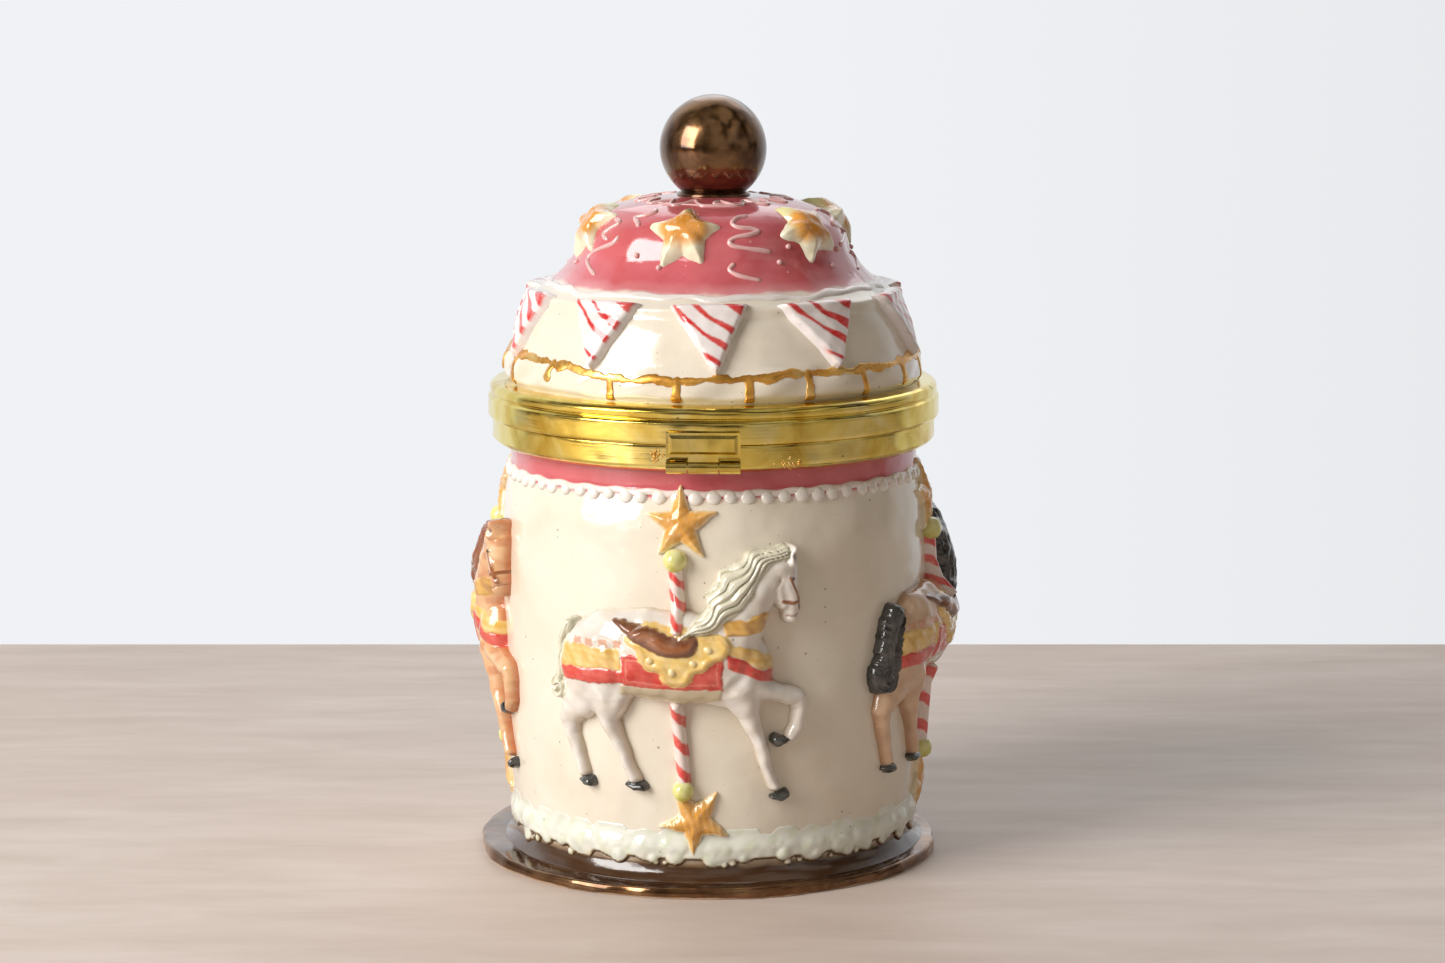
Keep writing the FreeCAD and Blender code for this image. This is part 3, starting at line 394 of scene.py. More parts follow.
class Tree:
    """A material's nodes, with short ways to add and link them."""

    def __init__(self, name):
        self.material = bpy.data.materials.new(name)
        self.material.use_nodes = True
        self.nodes = self.material.node_tree.nodes
        self.links = self.material.node_tree.links
        self.shader = self.nodes["Principled BSDF"]
        self.place = self.add("ShaderNodeTexCoord").outputs["Object"]

    def add(self, kind, **settings):
        node = self.nodes.new(kind)
        for key, value in settings.items():
            setattr(node, key, value)
        return node

    def feed(self, socket, value):
        if isinstance(value, bpy.types.NodeSocket):
            self.links.new(value, socket)
        elif isinstance(value, (tuple, list, np.ndarray)):
            value = [float(x) for x in value]
            socket.default_value = value + [1.0] if len(value) == 3 and socket.type == "RGBA" else value
        else:
            socket.default_value = value

    def math(self, operation, first, second=0.0, third=0.0):
        node = self.add("ShaderNodeMath", operation=operation)
        for socket, value in zip(node.inputs, (first, second, third)):
            self.feed(socket, value)
        return node.outputs[0]

    def noise(self, scale, detail=3.0, rough=0.5, stretch=None, distortion=0.0):
        node = self.add("ShaderNodeTexNoise")
        place = self.place
        if stretch is not None:
            scaled = self.add("ShaderNodeMapping")
            self.feed(scaled.inputs["Vector"], place)
            scaled.inputs["Scale"].default_value = stretch
            place = scaled.outputs[0]
        self.feed(node.inputs["Vector"], place)
        for key, value in (("Scale", scale), ("Detail", detail), ("Roughness", rough), ("Distortion", distortion)):
            node.inputs[key].default_value = value
        return node.outputs[0]

    def ramp(self, value, *stops):
        """Colour stops (place, colour or grey) along a value."""
        node = self.add("ShaderNodeValToRGB")
        self.feed(node.inputs[0], value)
        elements = node.color_ramp.elements
        while len(elements) < len(stops):
            elements.new(0.5)
        for element, (at, tint) in zip(elements, stops):
            element.position = at
            rgb = [tint] * 3 if np.isscalar(tint) else [float(x) for x in tint]
            element.color = (*rgb, 1)
        return node.outputs[0]

    def mix(self, share, first, second, blend="MIX"):
        node = self.add("ShaderNodeMix", data_type="RGBA", blend_type=blend)
        self.feed(node.inputs["Factor"], share)
        self.feed(node.inputs[6], first)
        self.feed(node.inputs[7], second)
        return node.outputs[2]

    def bump(self, height, distance, strength=1.0, after=None):
        node = self.add("ShaderNodeBump")
        self.feed(node.inputs["Height"], height)
        node.inputs["Distance"].default_value = distance
        node.inputs["Strength"].default_value = strength
        if after is not None:
            self.feed(node.inputs["Normal"], after)
        return node.outputs[0]

    def level(self):
        """The height over the ground, in millimetres."""
        parts = self.add("ShaderNodeSeparateXYZ")
        self.feed(parts.inputs[0], self.place)
        return self.math("MULTIPLY", parts.outputs["Z"], 1000.0)

    def specks(self, scale, share, radius):
        """Sparse dots: 1 on a dot."""
        node = self.add("ShaderNodeTexVoronoi", feature="F1")
        self.feed(node.inputs["Vector"], self.place)
        node.inputs["Scale"].default_value = scale
        parts = self.add("ShaderNodeSeparateColor")
        self.feed(parts.inputs[0], node.outputs["Color"])
        chosen = self.math("LESS_THAN", parts.outputs[0], share)
        size = self.math("MULTIPLY", parts.outputs[1], radius)
        near = self.math("LESS_THAN", node.outputs["Distance"], size)
        return self.math("MULTIPLY", chosen, near)

    def settle(self, base, rough, normal=None, **sockets):
        self.feed(self.shader.inputs["Base Color"], base)
        self.feed(self.shader.inputs["Roughness"], rough)
        if normal is not None:
            self.feed(self.shader.inputs["Normal"], normal)
        for key, value in sockets.items():
            self.shader.inputs[key.replace("_", " ")].default_value = value
        return self.material


CREAM = colour(228, 218, 200)
PINK = colour(202, 100, 108)
CORAL = colour(188, 80, 84)
PALE_PINK = colour(220, 142, 144)


GLAZE_UNEVENNESS = 0.00012


def glaze_gloss(t):
    """The common gloss of a glaze: a slightly uneven skin."""
    slow = t.noise(46, 2.0)
    fine = t.noise(420, 3.0)
    skin = t.bump(slow, GLAZE_UNEVENNESS * 12)
    skin = t.bump(fine, GLAZE_UNEVENNESS, 0.5, skin)
    rough = t.ramp(t.noise(150, 3.0), (0.3, 0.07), (0.75, 0.2))
    return skin, rough


def glaze(name, base_of):
    t = Tree(name)
    skin, rough = glaze_gloss(t)
    return t.settle(base_of(t), rough, skin, Coat_Weight=0.6, Coat_Roughness=0.04, Specular_IOR_Level=0.55)


def speckled(t, base, dark=colour(120, 96, 70)):
    base = t.mix(t.math("MULTIPLY", t.specks(420, 0.16, 0.16), 0.55), base, dark)
    return t.mix(t.math("MULTIPLY", t.specks(900, 0.1, 0.2), 0.3), base, dark)


def cream_base(t):
    cloudy = t.ramp(t.noise(28, 4.0, 0.6), (0.35, colour(232, 224, 208)), (0.55, CREAM),
                    (0.75, colour(218, 206, 184)))
    return speckled(t, cloudy)


def pink_base(t):
    patchy = t.ramp(t.noise(34, 4.0, 0.62, distortion=0.6), (0.3, CORAL), (0.48, PINK),
                    (0.66, colour(196, 90, 92)), (0.8, PALE_PINK))
    return speckled(t, patchy, colour(236, 190, 190))


def pot_base(t):
    """Cream, with pink over the shoulder and dark lustre in the cove at the foot."""
    level = t.math("ADD", t.level(), t.math("MULTIPLY", t.math("SUBTRACT", t.noise(150, 2.0), 0.5), 1.6))
    pink = t.ramp(t.math("MULTIPLY_ADD", level, 0.1, -9.92), (0.46, 0.0), (0.54, 1.0))
    bleed = t.ramp(t.math("MULTIPLY_ADD", level, 0.1, -9.92), (0.36, 0.0), (0.52, 0.7))
    foot = t.ramp(t.math("MULTIPLY_ADD", level, 0.1, -0.35), (0.3, 1.0), (0.46, 0.0))
    stain = t.ramp(t.math("MULTIPLY_ADD", level, 0.1, -0.35), (0.4, 0.8), (0.62, 0.0))
    base = t.mix(bleed, cream_base(t), colour(228, 190, 186))
    base = t.mix(pink, base, pink_base(t))
    base = t.mix(stain, base, colour(146, 110, 62))
    return t.mix(foot, base, colour(72, 48, 30))


def lid_base(t):
    """Cream below, pink on the dome, with a wavy pale edge between."""
    level = t.math("ADD", t.level(), t.math("MULTIPLY", t.math("SUBTRACT", t.noise(95, 2.5), 0.5), 3.2))
    edge = t.math("MULTIPLY_ADD", level, 0.1, -15.05)
    pink = t.ramp(edge, (0.44, 0.0), (0.52, 1.0))
    bleed = t.ramp(edge, (0.3, 0.0), (0.5, 0.55))
    pale = t.ramp(edge, (0.5, 0.75), (0.72, 0.0))
    base = t.mix(bleed, cream_base(t), colour(232, 206, 200))
    base = t.mix(pink, base, pink_base(t))
    milky = t.math("MULTIPLY", pale, pink)
    return t.mix(t.math("MULTIPLY", milky, t.noise(60, 3.0)), base, colour(232, 180, 180))


def painted_base(t):
    """What is painted on each point, thinner and thicker as a brush leaves it."""
    paint = t.add("ShaderNodeAttribute", attribute_name="paint").outputs["Color"]
    thin = t.ramp(t.noise(260, 4.0, 0.6), (0.35, 0.0), (0.8, 0.12))
    paint = t.mix(thin, paint, colour(244, 236, 222))
    deep = t.ramp(t.noise(120, 3.0), (0.3, 1.0), (0.7, 0.86))
    return speckled(t, t.mix(1.0, paint, deep, "MULTIPLY"), colour(110, 80, 60))


cream_glaze = glaze("cream_glaze", pot_base)
inside_glaze = glaze("inside_glaze", cream_base)
lid_glaze = glaze("lid_glaze", lid_base)
painted_glaze = glaze("painted_glaze", painted_base)


def lustre(name, dark, mid, light, rough_low, rough_high, scale=30):
    """A metallic lustre fired over glaze, mottled, with rubbed streaks and pits."""
    t = Tree(name)
    mottle = t.noise(scale, 5.0, 0.62, distortion=1.2)
    base = t.ramp(mottle, (0.3, dark), (0.5, mid), (0.68, light))
    rub = t.ramp(t.noise(70, 4.0, 0.7, stretch=(1, 1, 0.35)), (0.5, 0.0), (0.72, 0.55))
    base = t.mix(rub, base, light)
    base = t.mix(t.math("MULTIPLY", t.specks(500, 0.2, 0.18), 0.7), base, dark)
    rough = t.ramp(t.noise(90, 4.0, 0.6), (0.3, rough_low), (0.75, rough_high))
    skin = t.bump(t.noise(60, 2.0), 0.0012)
    skin = t.bump(t.noise(700, 3.0), 0.00004, 0.6, skin)
    return t.settle(base, rough, skin, Metallic=0.9, Coat_Weight=0.5, Coat_Roughness=0.06)


def disc_lustre():
    """Bronze lustre over the disc, worn to bare tan clay along its lower edge."""
    t = Tree("disc_lustre")
    mottle = t.noise(26, 5.0, 0.62, distortion=1.5)
    base = t.ramp(mottle, (0.3, colour(66, 42, 22)), (0.5, colour(114, 78, 46)), (0.7, colour(164, 124, 82)))
    rub = t.ramp(t.noise(60, 4.0, 0.7), (0.5, 0.0), (0.7, 0.5))
    base = t.mix(rub, base, colour(172, 136, 98))
    level = t.math("ADD", t.level(), t.math("MULTIPLY", t.math("SUBTRACT", t.noise(120, 2.0), 0.5), 0.9))
    bare = t.ramp(t.math("MULTIPLY_ADD", level, 0.1, 0.4), (0.42, 1.0), (0.455, 0.0))
    clay = t.ramp(t.noise(500, 4.0), (0.3, colour(186, 156, 124)), (0.7, colour(214, 188, 158)))
    base = t.mix(bare, base, clay)
    rough = t.math("ADD", t.ramp(t.noise(90, 4.0, 0.6), (0.3, 0.1), (0.75, 0.26)),
                   t.math("MULTIPLY", bare, 0.5))
    metal = t.math("SUBTRACT", 0.85, t.math("MULTIPLY", bare, 0.85))
    t.feed(t.shader.inputs["Metallic"], metal)
    skin = t.bump(t.noise(55, 2.0), 0.0008)
    skin = t.bump(t.noise(700, 3.0), 0.00005, 0.6, skin)
    return t.settle(base, rough, skin, Coat_Weight=0.4, Coat_Roughness=0.05)


def brass(name, streak=(1, 1, 60), tarnish=0.5):
    """Polished brass plate: drawn lines along it, cloudy polish, brown tarnish and a few spots."""
    t = Tree(name)
    cloudy = t.noise(55, 4.0, 0.6, distortion=0.8)
    base = t.ramp(cloudy, (0.3, colour(212, 176, 66)), (0.5, colour(236, 212, 112)), (0.7, colour(246, 232, 160)))
    stain = t.ramp(t.noise(38, 4.0, 0.65), (0.52, 0.0), (0.74, tarnish))
    base = t.mix(stain, base, colour(168, 112, 34))
    base = t.mix(t.math("MULTIPLY", t.specks(330, 0.12, 0.25), 0.7), base, colour(104, 74, 24))
    lines = t.noise(30, 5.0, 0.6, stretch=streak)
    rough = t.ramp(t.math("ADD", t.math("MULTIPLY", lines, 0.5), t.math("MULTIPLY", t.noise(90, 3.0), 0.5)),
                   (0.35, 0.05), (0.65, 0.2))
    skin = t.bump(t.noise(60, 2.0), 0.0006)
    skin = t.bump(lines, 0.00005, 0.5, skin)
    return t.settle(base, rough, skin, Metallic=1.0)


def gold_paint():
    t = Tree("gold_lustre")
    base = t.ramp(t.noise(120, 4.0, 0.6), (0.3, colour(196, 134, 50)), (0.5, colour(226, 168, 76)),
                  (0.72, colour(246, 214, 140)))
    skin = t.bump(t.noise(600, 3.0), 0.0001)
    return t.settle(base, t.ramp(t.noise(300, 3.0), (0.3, 0.22), (0.7, 0.42)), skin, Metallic=0.75,
                    Coat_Weight=0.3, Coat_Roughness=0.1)


def steel():
    t = Tree("movement_steel")
    base = t.ramp(t.noise(200, 4.0), (0.3, colour(138, 138, 142)), (0.7, colour(190, 190, 194)))
    lines = t.noise(40, 4.0, 0.6, stretch=(1, 30, 1))
    return t.settle(base, t.ramp(lines, (0.3, 0.18), (0.7, 0.36)), t.bump(lines, 0.00004), Metallic=1.0)


def cast():
    t = Tree("cast_bed")
    grain = t.noise(900, 4.0, 0.6)
    base = t.ramp(t.noise(60, 4.0), (0.3, colour(150, 148, 142)), (0.7, colour(178, 176, 170)))
    return t.settle(base, t.ramp(grain, (0.3, 0.4), (0.7, 0.6)), t.bump(grain, 0.0001), Metallic=0.85)


def wood():
    t = Tree("floor_wood")
    rings = t.noise(22, 5.0, 0.6, stretch=(1, 12, 12), distortion=0.7)
    base = t.ramp(rings, (0.3, colour(170, 126, 84)), (0.5, colour(206, 164, 116)), (0.7, colour(224, 190, 146)))
    fibre = t.noise(260, 4.0, 0.6, stretch=(0.1, 1, 1))
    return t.settle(base, 0.55, t.bump(fibre, 0.0001))


def felt_cloth():
    t = Tree("red_felt")
    fibre = t.noise(1500, 6.0, 0.75, distortion=2.0)
    patch = t.noise(70, 3.0)
    base = t.ramp(fibre, (0.3, colour(110, 16, 20)), (0.6, colour(164, 30, 34)), (0.8, colour(190, 60, 58)))
    base = t.mix(t.ramp(patch, (0.3, 0.0), (0.8, 0.25)), base, colour(96, 12, 18))
    return t.settle(base, 0.95, t.bump(fibre, 0.0004), Sheen_Weight=0.4)


def nylon():
    t = Tree("nylon")
    cloudy = t.noise(160, 3.0)
    base = t.ramp(cloudy, (0.3, colour(226, 220, 204)), (0.7, colour(240, 236, 224)))
    return t.settle(base, t.ramp(t.noise(300, 3.0), (0.3, 0.35), (0.7, 0.5)), t.bump(cloudy, 0.00008))


ball_lustre = lustre("ball_lustre", colour(46, 30, 18), colour(86, 56, 34), colour(150, 112, 72), 0.1, 0.26)
bronze_disc = disc_lustre()
rim_brass = brass("polished_brass")
fitting_brass = brass("fitting_brass", (60, 1, 1), 0.35)
movement_brass = brass("movement_brass", (1, 40, 1), 0.3)
gold_lustre = gold_paint()


# ---- Turned pieces ----


def lathe(profile, columns, shape=None, middle=(0.0, 0.0)):
    """A solid turned from axis to axis, or a ring when the profile closes on itself."""
    p = np.array(profile, float)
    capped = p[0, 0] < 1e-6
    rows = p[1:-1] if capped else p
    angle = np.arange(columns) * TAU / columns
    radius, level = np.repeat(rows[:, :1], columns, 1), np.repeat(rows[:, 1:], columns, 1)
    angles = np.broadcast_to(angle, radius.shape)
    if shape is not None:
        radius, level = shape(angles, radius, level)
    points = np.stack([radius * np.sin(angles) + middle[0], -radius * np.cos(angles) + middle[1], level],
                      -1).reshape(-1, 3)
    faces = grid_faces(len(rows), columns, True)
    if capped:
        low, high = len(points), len(points) + 1
        points = np.vstack([points, [[middle[0], middle[1], p[0, 1]], [middle[0], middle[1], p[-1, 1]]]])
        c = np.arange(columns)
        d = (c + 1) % columns
        base = (len(rows) - 1) * columns
        none = np.full(columns, -1)
        caps = np.vstack([np.stack([np.full(columns, low), d, c, none], -1),
                          np.stack([np.full(columns, high), base + c, base + d, none], -1)])
        faces = np.vstack([faces, caps])
    else:
        c = np.arange(columns)
        d = (c + 1) % columns
        base = (len(rows) - 1) * columns
        faces = np.vstack([faces, np.stack([base + c, base + d, d, c], -1)])
    return points, faces


def rounded(profile, radius, per_corner=4):
    """A closed profile with its sharp corners rounded off."""
    p = np.array(profile, float)
    out = []
    n = len(p)
    for k in range(n):
        here, before, after = p[k], p[k - 1], p[(k + 1) % n]
        one, two = before - here, after - here
        long_one, long_two = np.linalg.norm(one), np.linalg.norm(two)
        cut = min(radius, long_one * 0.4, long_two * 0.4)
        start, end = here + one / long_one * cut, here + two / long_two * cut
        for t in np.linspace(0, 1, per_corner):
            out.append((1 - t) ** 2 * start + 2 * t * (1 - t) * here + t * t * end)
    return np.array(out)


def dense(profile, spacing):
    """The profile with its long sides divided."""
    out = []
    p = np.array(profile, float)
    for a, b in zip(p[:-1], p[1:]):
        count = max(1, int(np.linalg.norm(b - a) / spacing))
        out.extend(a + (b - a) * t for t in np.arange(count) / count)
    out.append(p[-1])
    return np.array(out)


def skin_rows(wall, low, high, spacing):
    """Points (radius, level) up the outside of a wall, evenly along its length."""
    keep = (wall.levels >= low) & (wall.levels <= high)
    r, z = wall.radii[keep], wall.levels[keep]
    length = np.concatenate([[0], np.cumsum(np.hypot(np.diff(r), np.diff(z)))])
    at = np.linspace(0, length[-1], int(length[-1] / spacing))
    return np.stack([np.interp(at, length, r), np.interp(at, length, z)], -1)


def turned_shell(name, node, wall, before, after, columns, spacing, body, materials, open_top, ledge=None):
    """A shell whose outside follows a wall; before is under it, and after is inside it where its top is open."""
    skin = skin_rows(wall, wall.low, wall.high, spacing)
    inside_low, inside_high = dense(before, 2.0), dense(after, 2.0)
    profile = np.vstack([inside_low, skin, inside_high])
    first, last = len(inside_low) - 1, len(inside_low) + len(skin) - 1

    def shape(angles, radius, level):
        radius, level = radius.copy(), level.copy()
        out = slice(first, last)
        swell = wall.radius(angles[out], level[out]) - np.interp(level[out], wall.levels, wall.radii)
        radius[out] += swell
        if ledge is not None:
            radius[out] += ledge(angles[out], level[out])
        return radius, level

    points, faces = lathe(profile, columns, shape)
    thing = make_mesh(name, points, faces)
    finish_piece(thing, body, materials, [node])
    rows = len(profile) - 2
    row_of = np.repeat(np.arange(rows - 1), columns)
    index = np.zeros(len(thing.data.polygons), np.int32)
    index[: len(row_of)] = (row_of < first - 1) | (open_top & (row_of >= last - 1))
    index[len(row_of): len(row_of) + columns] = 1
    index[len(row_of) + columns:] = open_top
    thing.data.polygons.foreach_set("material_index", index)
    return thing


def make_pot():
    mouth = 50.2
    before = [(0, 14), (46.6, 14), (47, 13.4), (47, 3.2), (47.3, 3), (57, 3)]
    after = [(54.4, 117.4), (mouth, 117.4), (mouth, 104.5), (52.2, 95.3), (53.5, 81.2), (53.6, 71.6),
             (52.3, 52), (51.4, 42), (48, 42), (48, 39.5), (50.3, 36), (50.3, 19), (49.8, 18.5), (0, 18.5)]
    turned_shell("pot_wall", "pot_shell", pot, before, after, 460, 0.72, "jar",
                 [cream_glaze, inside_glaze], True)


def ledge_lumps(angle, level):
    """The rolled ledge of the lid is pressed by hand, so it bulges and dips along its way."""
    on_ledge = step_up(level, 129, 131) * (1 - step_up(level, 135, 138))
    return 0.4 * on_ledge * around_ripple(angle, level, 5, (9, 13, 17, 21), 12)


def make_lid():
    inner = [(0, 172.9), (20, 171.4), (26.8, 168.2), (30.4, 164.3), (31.6, 162.4), (34.1, 159), (40.1, 153.1),
             (45.4, 147.4), (49.1, 140.4), (51.6, 134.5), (51.6, 130), (50.2, 127), (50.2, 119.9), (50.6, 119.5),
             (54.6, 119.5)]
    turned_shell("lid_wall", "lid_shell", lid, inner, [(8, 177.2), (0, 177.2)], 460, 0.6, "lid",
                 [lid_glaze, inside_glaze], False, ledge_lumps)


def make_disc():
    """The foot disc, cut by hand: its edge wanders in and out and up and down."""
    low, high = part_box("base_disc")
    middle = ((low.x + high.x) / 2 / MM, (low.y + high.y) / 2 / MM)
    radius = (high.x - low.x) / 2 / MM
    opening = 34.0
    profile = dense(rounded([(opening, 0), (radius, 0), (radius + 0.1, 1.5), (radius - 0.3, 3.0), (opening, 3.0)],
                            0.9, 6), 1.2)

    def shape(angles, radii, levels):
        out = step_up(radii, 50, radius)
        wander = around_ripple(angles, 0, 31, (2, 3, 4, 6, 9, 13), 10)
        chips = around_ripple(angles, 0, 37, (17, 23, 31, 41), 10)
        radii = radii + out * (0.5 * wander + 0.14 * chips - 0.55)
        sag = around_ripple(angles, 0, 41, (3, 5, 8, 12), 10)
        top = step_up(levels, 0.5, 2.6)
        return radii, levels + out * top * (0.3 * sag - 0.1)

    points, faces = lathe(profile, 480, shape, middle)
    finish_piece(make_mesh("foot_disc", points, faces), "jar", [bronze_disc], ["base_disc"])


def make_knob():
    """The ball and its neck, turned a little out of true."""
    ball_radius, top = 14.3, 204.0
    centre = top - ball_radius
    neck, base = 8.6, 177.2
    meet = centre - math.sqrt(ball_radius ** 2 - neck ** 2)
    turn = np.linspace(math.atan2(meet - centre, neck), math.pi / 2, 70)
    arc = np.stack([ball_radius * np.cos(turn), centre + ball_radius * np.sin(turn)], -1)
    arc[-1, 0] = 0
    foot = [(0, base - 0.4), (9.6, base - 0.4), (9.9, base + 0.2), (9.4, base + 0.9), (8.7, base + 1.0),
            (8.5, base + 0.9 + 0.2), (neck, meet - 0.1)]
    profile = np.vstack([dense(foot, 0.5), arc])

    def shape(angles, radii, levels):
        swell = around_ripple(angles, levels, 51, (1, 2, 3, 4), 30)
        return radii * (1 + 0.010 * swell), levels

    points, faces = lathe(profile, 160, shape)
    finish_piece(make_mesh("knob", points, faces), "lid", [ball_lustre], ["ball_knob"])


def make_rims():
    """The spun brass rims, with rolled edges that are not quite true."""
    body = [(55.05, 111.0), (56.4, 111.1), (57.6, 111.6), (58.6, 112.2), (59.4, 113.0),
            (59.4, 118.4), (50.4, 118.4), (50.4, 117.6), (58.4, 117.6), (58.4, 113.5), (55.05, 112.2)]
    upper = [(50.4, 118.6), (60.2, 118.6), (60.6, 119.1), (60.6, 124.1), (59.5, 124.9), (60.1, 125.4),
             (60.1, 126.8), (59.6, 127.5), (58.8, 128.0), (55.05, 128.4), (55.05, 127.4), (58.2, 127.0),
             (58.9, 126.2), (58.7, 123.6), (59.6, 123.2), (59.6, 119.4), (50.4, 119.4)]

    def bend(seed):
        def shape(angles, radii, levels):
            out = step_up(radii, 56, 59)
            dents = around_ripple(angles, levels, seed, (5, 8, 13, 21, 34), 14)
            return radii + out * 0.07 * dents, levels + out * 0.04 * around_ripple(angles, 0, seed + 1, (3, 4, 7), 10)
        return shape

    for name, node, profile, body_name, seed in (("lower_rim", "body_rim", body, "jar", 61),
                                                 ("upper_rim", "lid_rim", upper, "lid", 67)):
        points, faces = lathe(dense(rounded(profile, 0.28, 4), 0.8), 420, bend(seed))
        thing = make_mesh(name, points, faces)
        finish_piece(thing, body_name, [rim_brass], [node])


# ---- The horses ----

TORSO = [(-24.0, 61, 11.2, 6.6), (-18, 63.5, 11.8, 7.2), (-8, 64, 11.7, 7.4), (0, 63, 12.6, 7.6), (7, 62.4, 11.2, 7.6),
         (13.6, 60.6, 10.9, 7.0)]
HIND_LEGS = [
    [(-24, 57, 9.6, 6.4), (-29.0, 50.6, 6.2, 5.0), (-32.6, 45, 3.4, 4.0), (-32.4, 41, 2.3, 3.3), (-30.2, 35, 1.8, 2.8),
     (-28.6, 30.6, 1.9, 2.8)],
    [(-20, 52, 7.2, 6.2), (-19.4, 45.6, 3.2, 4.6), (-17.2, 40.5, 2.0, 3.6), (-15, 35, 1.8, 3.0),
     (-12.8, 30.6, 1.9, 2.9)]]
FORE_LEGS = [
    [(15.5, 55, 6.8, 6.6), (18, 48, 3.2, 4.8), (20.5, 41, 2.3, 3.8), (23.1, 34, 1.8, 3.1), (24.8, 29, 1.9, 3.0)],
    [(20, 55.4, 4.2, 5.4), (26.4, 53.6, 2.5, 4.4), (30.6, 52.3, 2.5, 4.1), (31.5, 49.5, 2.1, 3.7),
     (31, 44.8, 1.9, 3.4), (29.2, 41.8, 1.7, 3.1)]]
HOOVES = [
    [(-29.8, 28.3, 0.8, 2.2), (-28.0, 28.1, 1.6, 2.9), (-26.4, 28.2, 1.6, 2.9)],
    [(-14.9, 28.9, 0.8, 2.2), (-12.6, 28.0, 1.5, 2.9), (-10.8, 28.2, 1.7, 3.0)],
    [(24.4, 25.6, 0.8, 2.2), (26.8, 25.8, 1.5, 2.9), (28.2, 26.6, 1.5, 2.9)],
    [(27.4, 40.6, 1.3, 2.8), (26.0, 40.6, 1.9, 3.2), (24.9, 41.4, 1.7, 3.0)]]
NECK = [(11, 66, 9.5, 7.2), (15, 73, 7.4, 7.0), (19.5, 80.5, 5.8, 6.2), (24, 86.3, 4.9, 5.6)]
HEAD = [(26.3, 86.0, 4.7, 5.9), (27.8, 80.8, 3.4, 5.6), (28.5, 76.2, 2.6, 5.0), (28.3, 73.9, 2.4, 4.8)]
JAW = [(24.2, 82.0, 3.4, 5.2), (26.2, 77.6, 1.9, 4.8)]
EAR = [(27.9, 88.2, 2.0, 6.6), (28.8, 91.0, 1.3, 6.2)]
MANE_LINE = [(26.6, 90.2), (23.5, 89.6), (20, 87.6), (16, 83.6), (12.4, 79.0), (9.2, 75.0), (5.8, 72.2), (1.0, 69.8)]
MANE_WIDTH = [2.0, 3.0, 4.0, 5.6, 5.4, 4.2, 2.5, 0.7]
TAIL_LINE = [(-30.0, 70.4), (-32.0, 67.0), (-33.0, 62.0), (-33.2, 58.0), (-34.4, 54.6)]
SADDLE = [(-16.8, 72.8), (-14, 73.4), (-10, 72.6), (-5, 71.7), (-1, 70.4), (2, 69.6), (4.8, 69.7), (4.4, 66.4),
          (0, 65.0), (-4, 65.6), (-8, 67.6), (-12, 70)]
CLOTH = [(-13, 69), (-10, 66.2), (-9.0, 63.4), (-7.2, 61.2), (-4.6, 60.6), (-3.6, 58.4), (-1.2, 57), (1.4, 57),
         (3.4, 58.4), (4.2, 60.6), (6.8, 61.2), (8.4, 63.3), (11.2, 65.0), (13, 67.5), (11.8, 69.8), (9.5, 70.8),
         (5, 70.6), (0, 72), (-8, 73)]
BREAST = [(11.6, 66.4), (12.8, 68.2), (24.6, 64.0), (25.6, 60.3), (19.2, 61.4), (14.2, 64.8)]
BREAST_RED = [(11.6, 66.4), (14.2, 64.8), (19.2, 61.4), (25.6, 60.3), (25.4, 57.2), (19.2, 58.2), (16.6, 60.0),
              (12, 62.2)]
NECK_STRAP = [(10.6, 73.6), (22.8, 75.6), (23.6, 71.4), (11.6, 70.0)]
PANEL = [(-13.6, 64.8), (10.8, 64.8), (10.8, 56.0), (-13.6, 56.0)]
PANEL_LINE = [(-12.3, 63.4), (-12.3, 57.4), (9.5, 57.4), (9.5, 63.4)]
GIRTH = [(-15.2, 56.2), (10.8, 56.2), (10.4, 52.8), (5, 51.6), (-4, 51.4), (-11, 52.4), (-15.2, 53.4)]
REAR_YELLOW = [(-34, 66.0), (-14.0, 66.2), (-14.0, 60.4), (-34, 59.8)]
REAR_RED = [(-34.5, 60.0), (-13.4, 60.4), (-13.4, 56.5), (-34.5, 56.3)]
PEARLS = [(-6.4, 64.0), (-1.0, 60.6), (7.4, 67.0), (3.8, 63.6)]
HORSES = {
    "front": dict(coat=colour(236, 230, 222), shade=colour(206, 186, 158), mane=colour(228, 224, 202),
                  groove=colour(168, 162, 124), dapple=0.0, tail=1.0),
    "left": dict(coat=colour(232, 188, 140), shade=colour(196, 104, 50), mane=colour(146, 78, 38),
                 groove=colour(84, 38, 18), dapple=0.5, tail=1.2),
    "right": dict(coat=colour(222, 186, 152), shade=colour(190, 142, 106), mane=colour(44, 42, 42),
                  groove=colour(16, 16, 18), dapple=0.15, tail=1.7),
    "back": dict(coat=colour(188, 180, 172), shade=colour(142, 134, 128), mane=colour(104, 96, 90),
                 groove=colour(60, 54, 50), dapple=0.5, tail=1.4),
}
YELLOW, RED = colour(228, 180, 88), colour(212, 48, 38)
LEATHER, LEATHER_LIGHT = colour(112, 58, 24), colour(166, 98, 50)


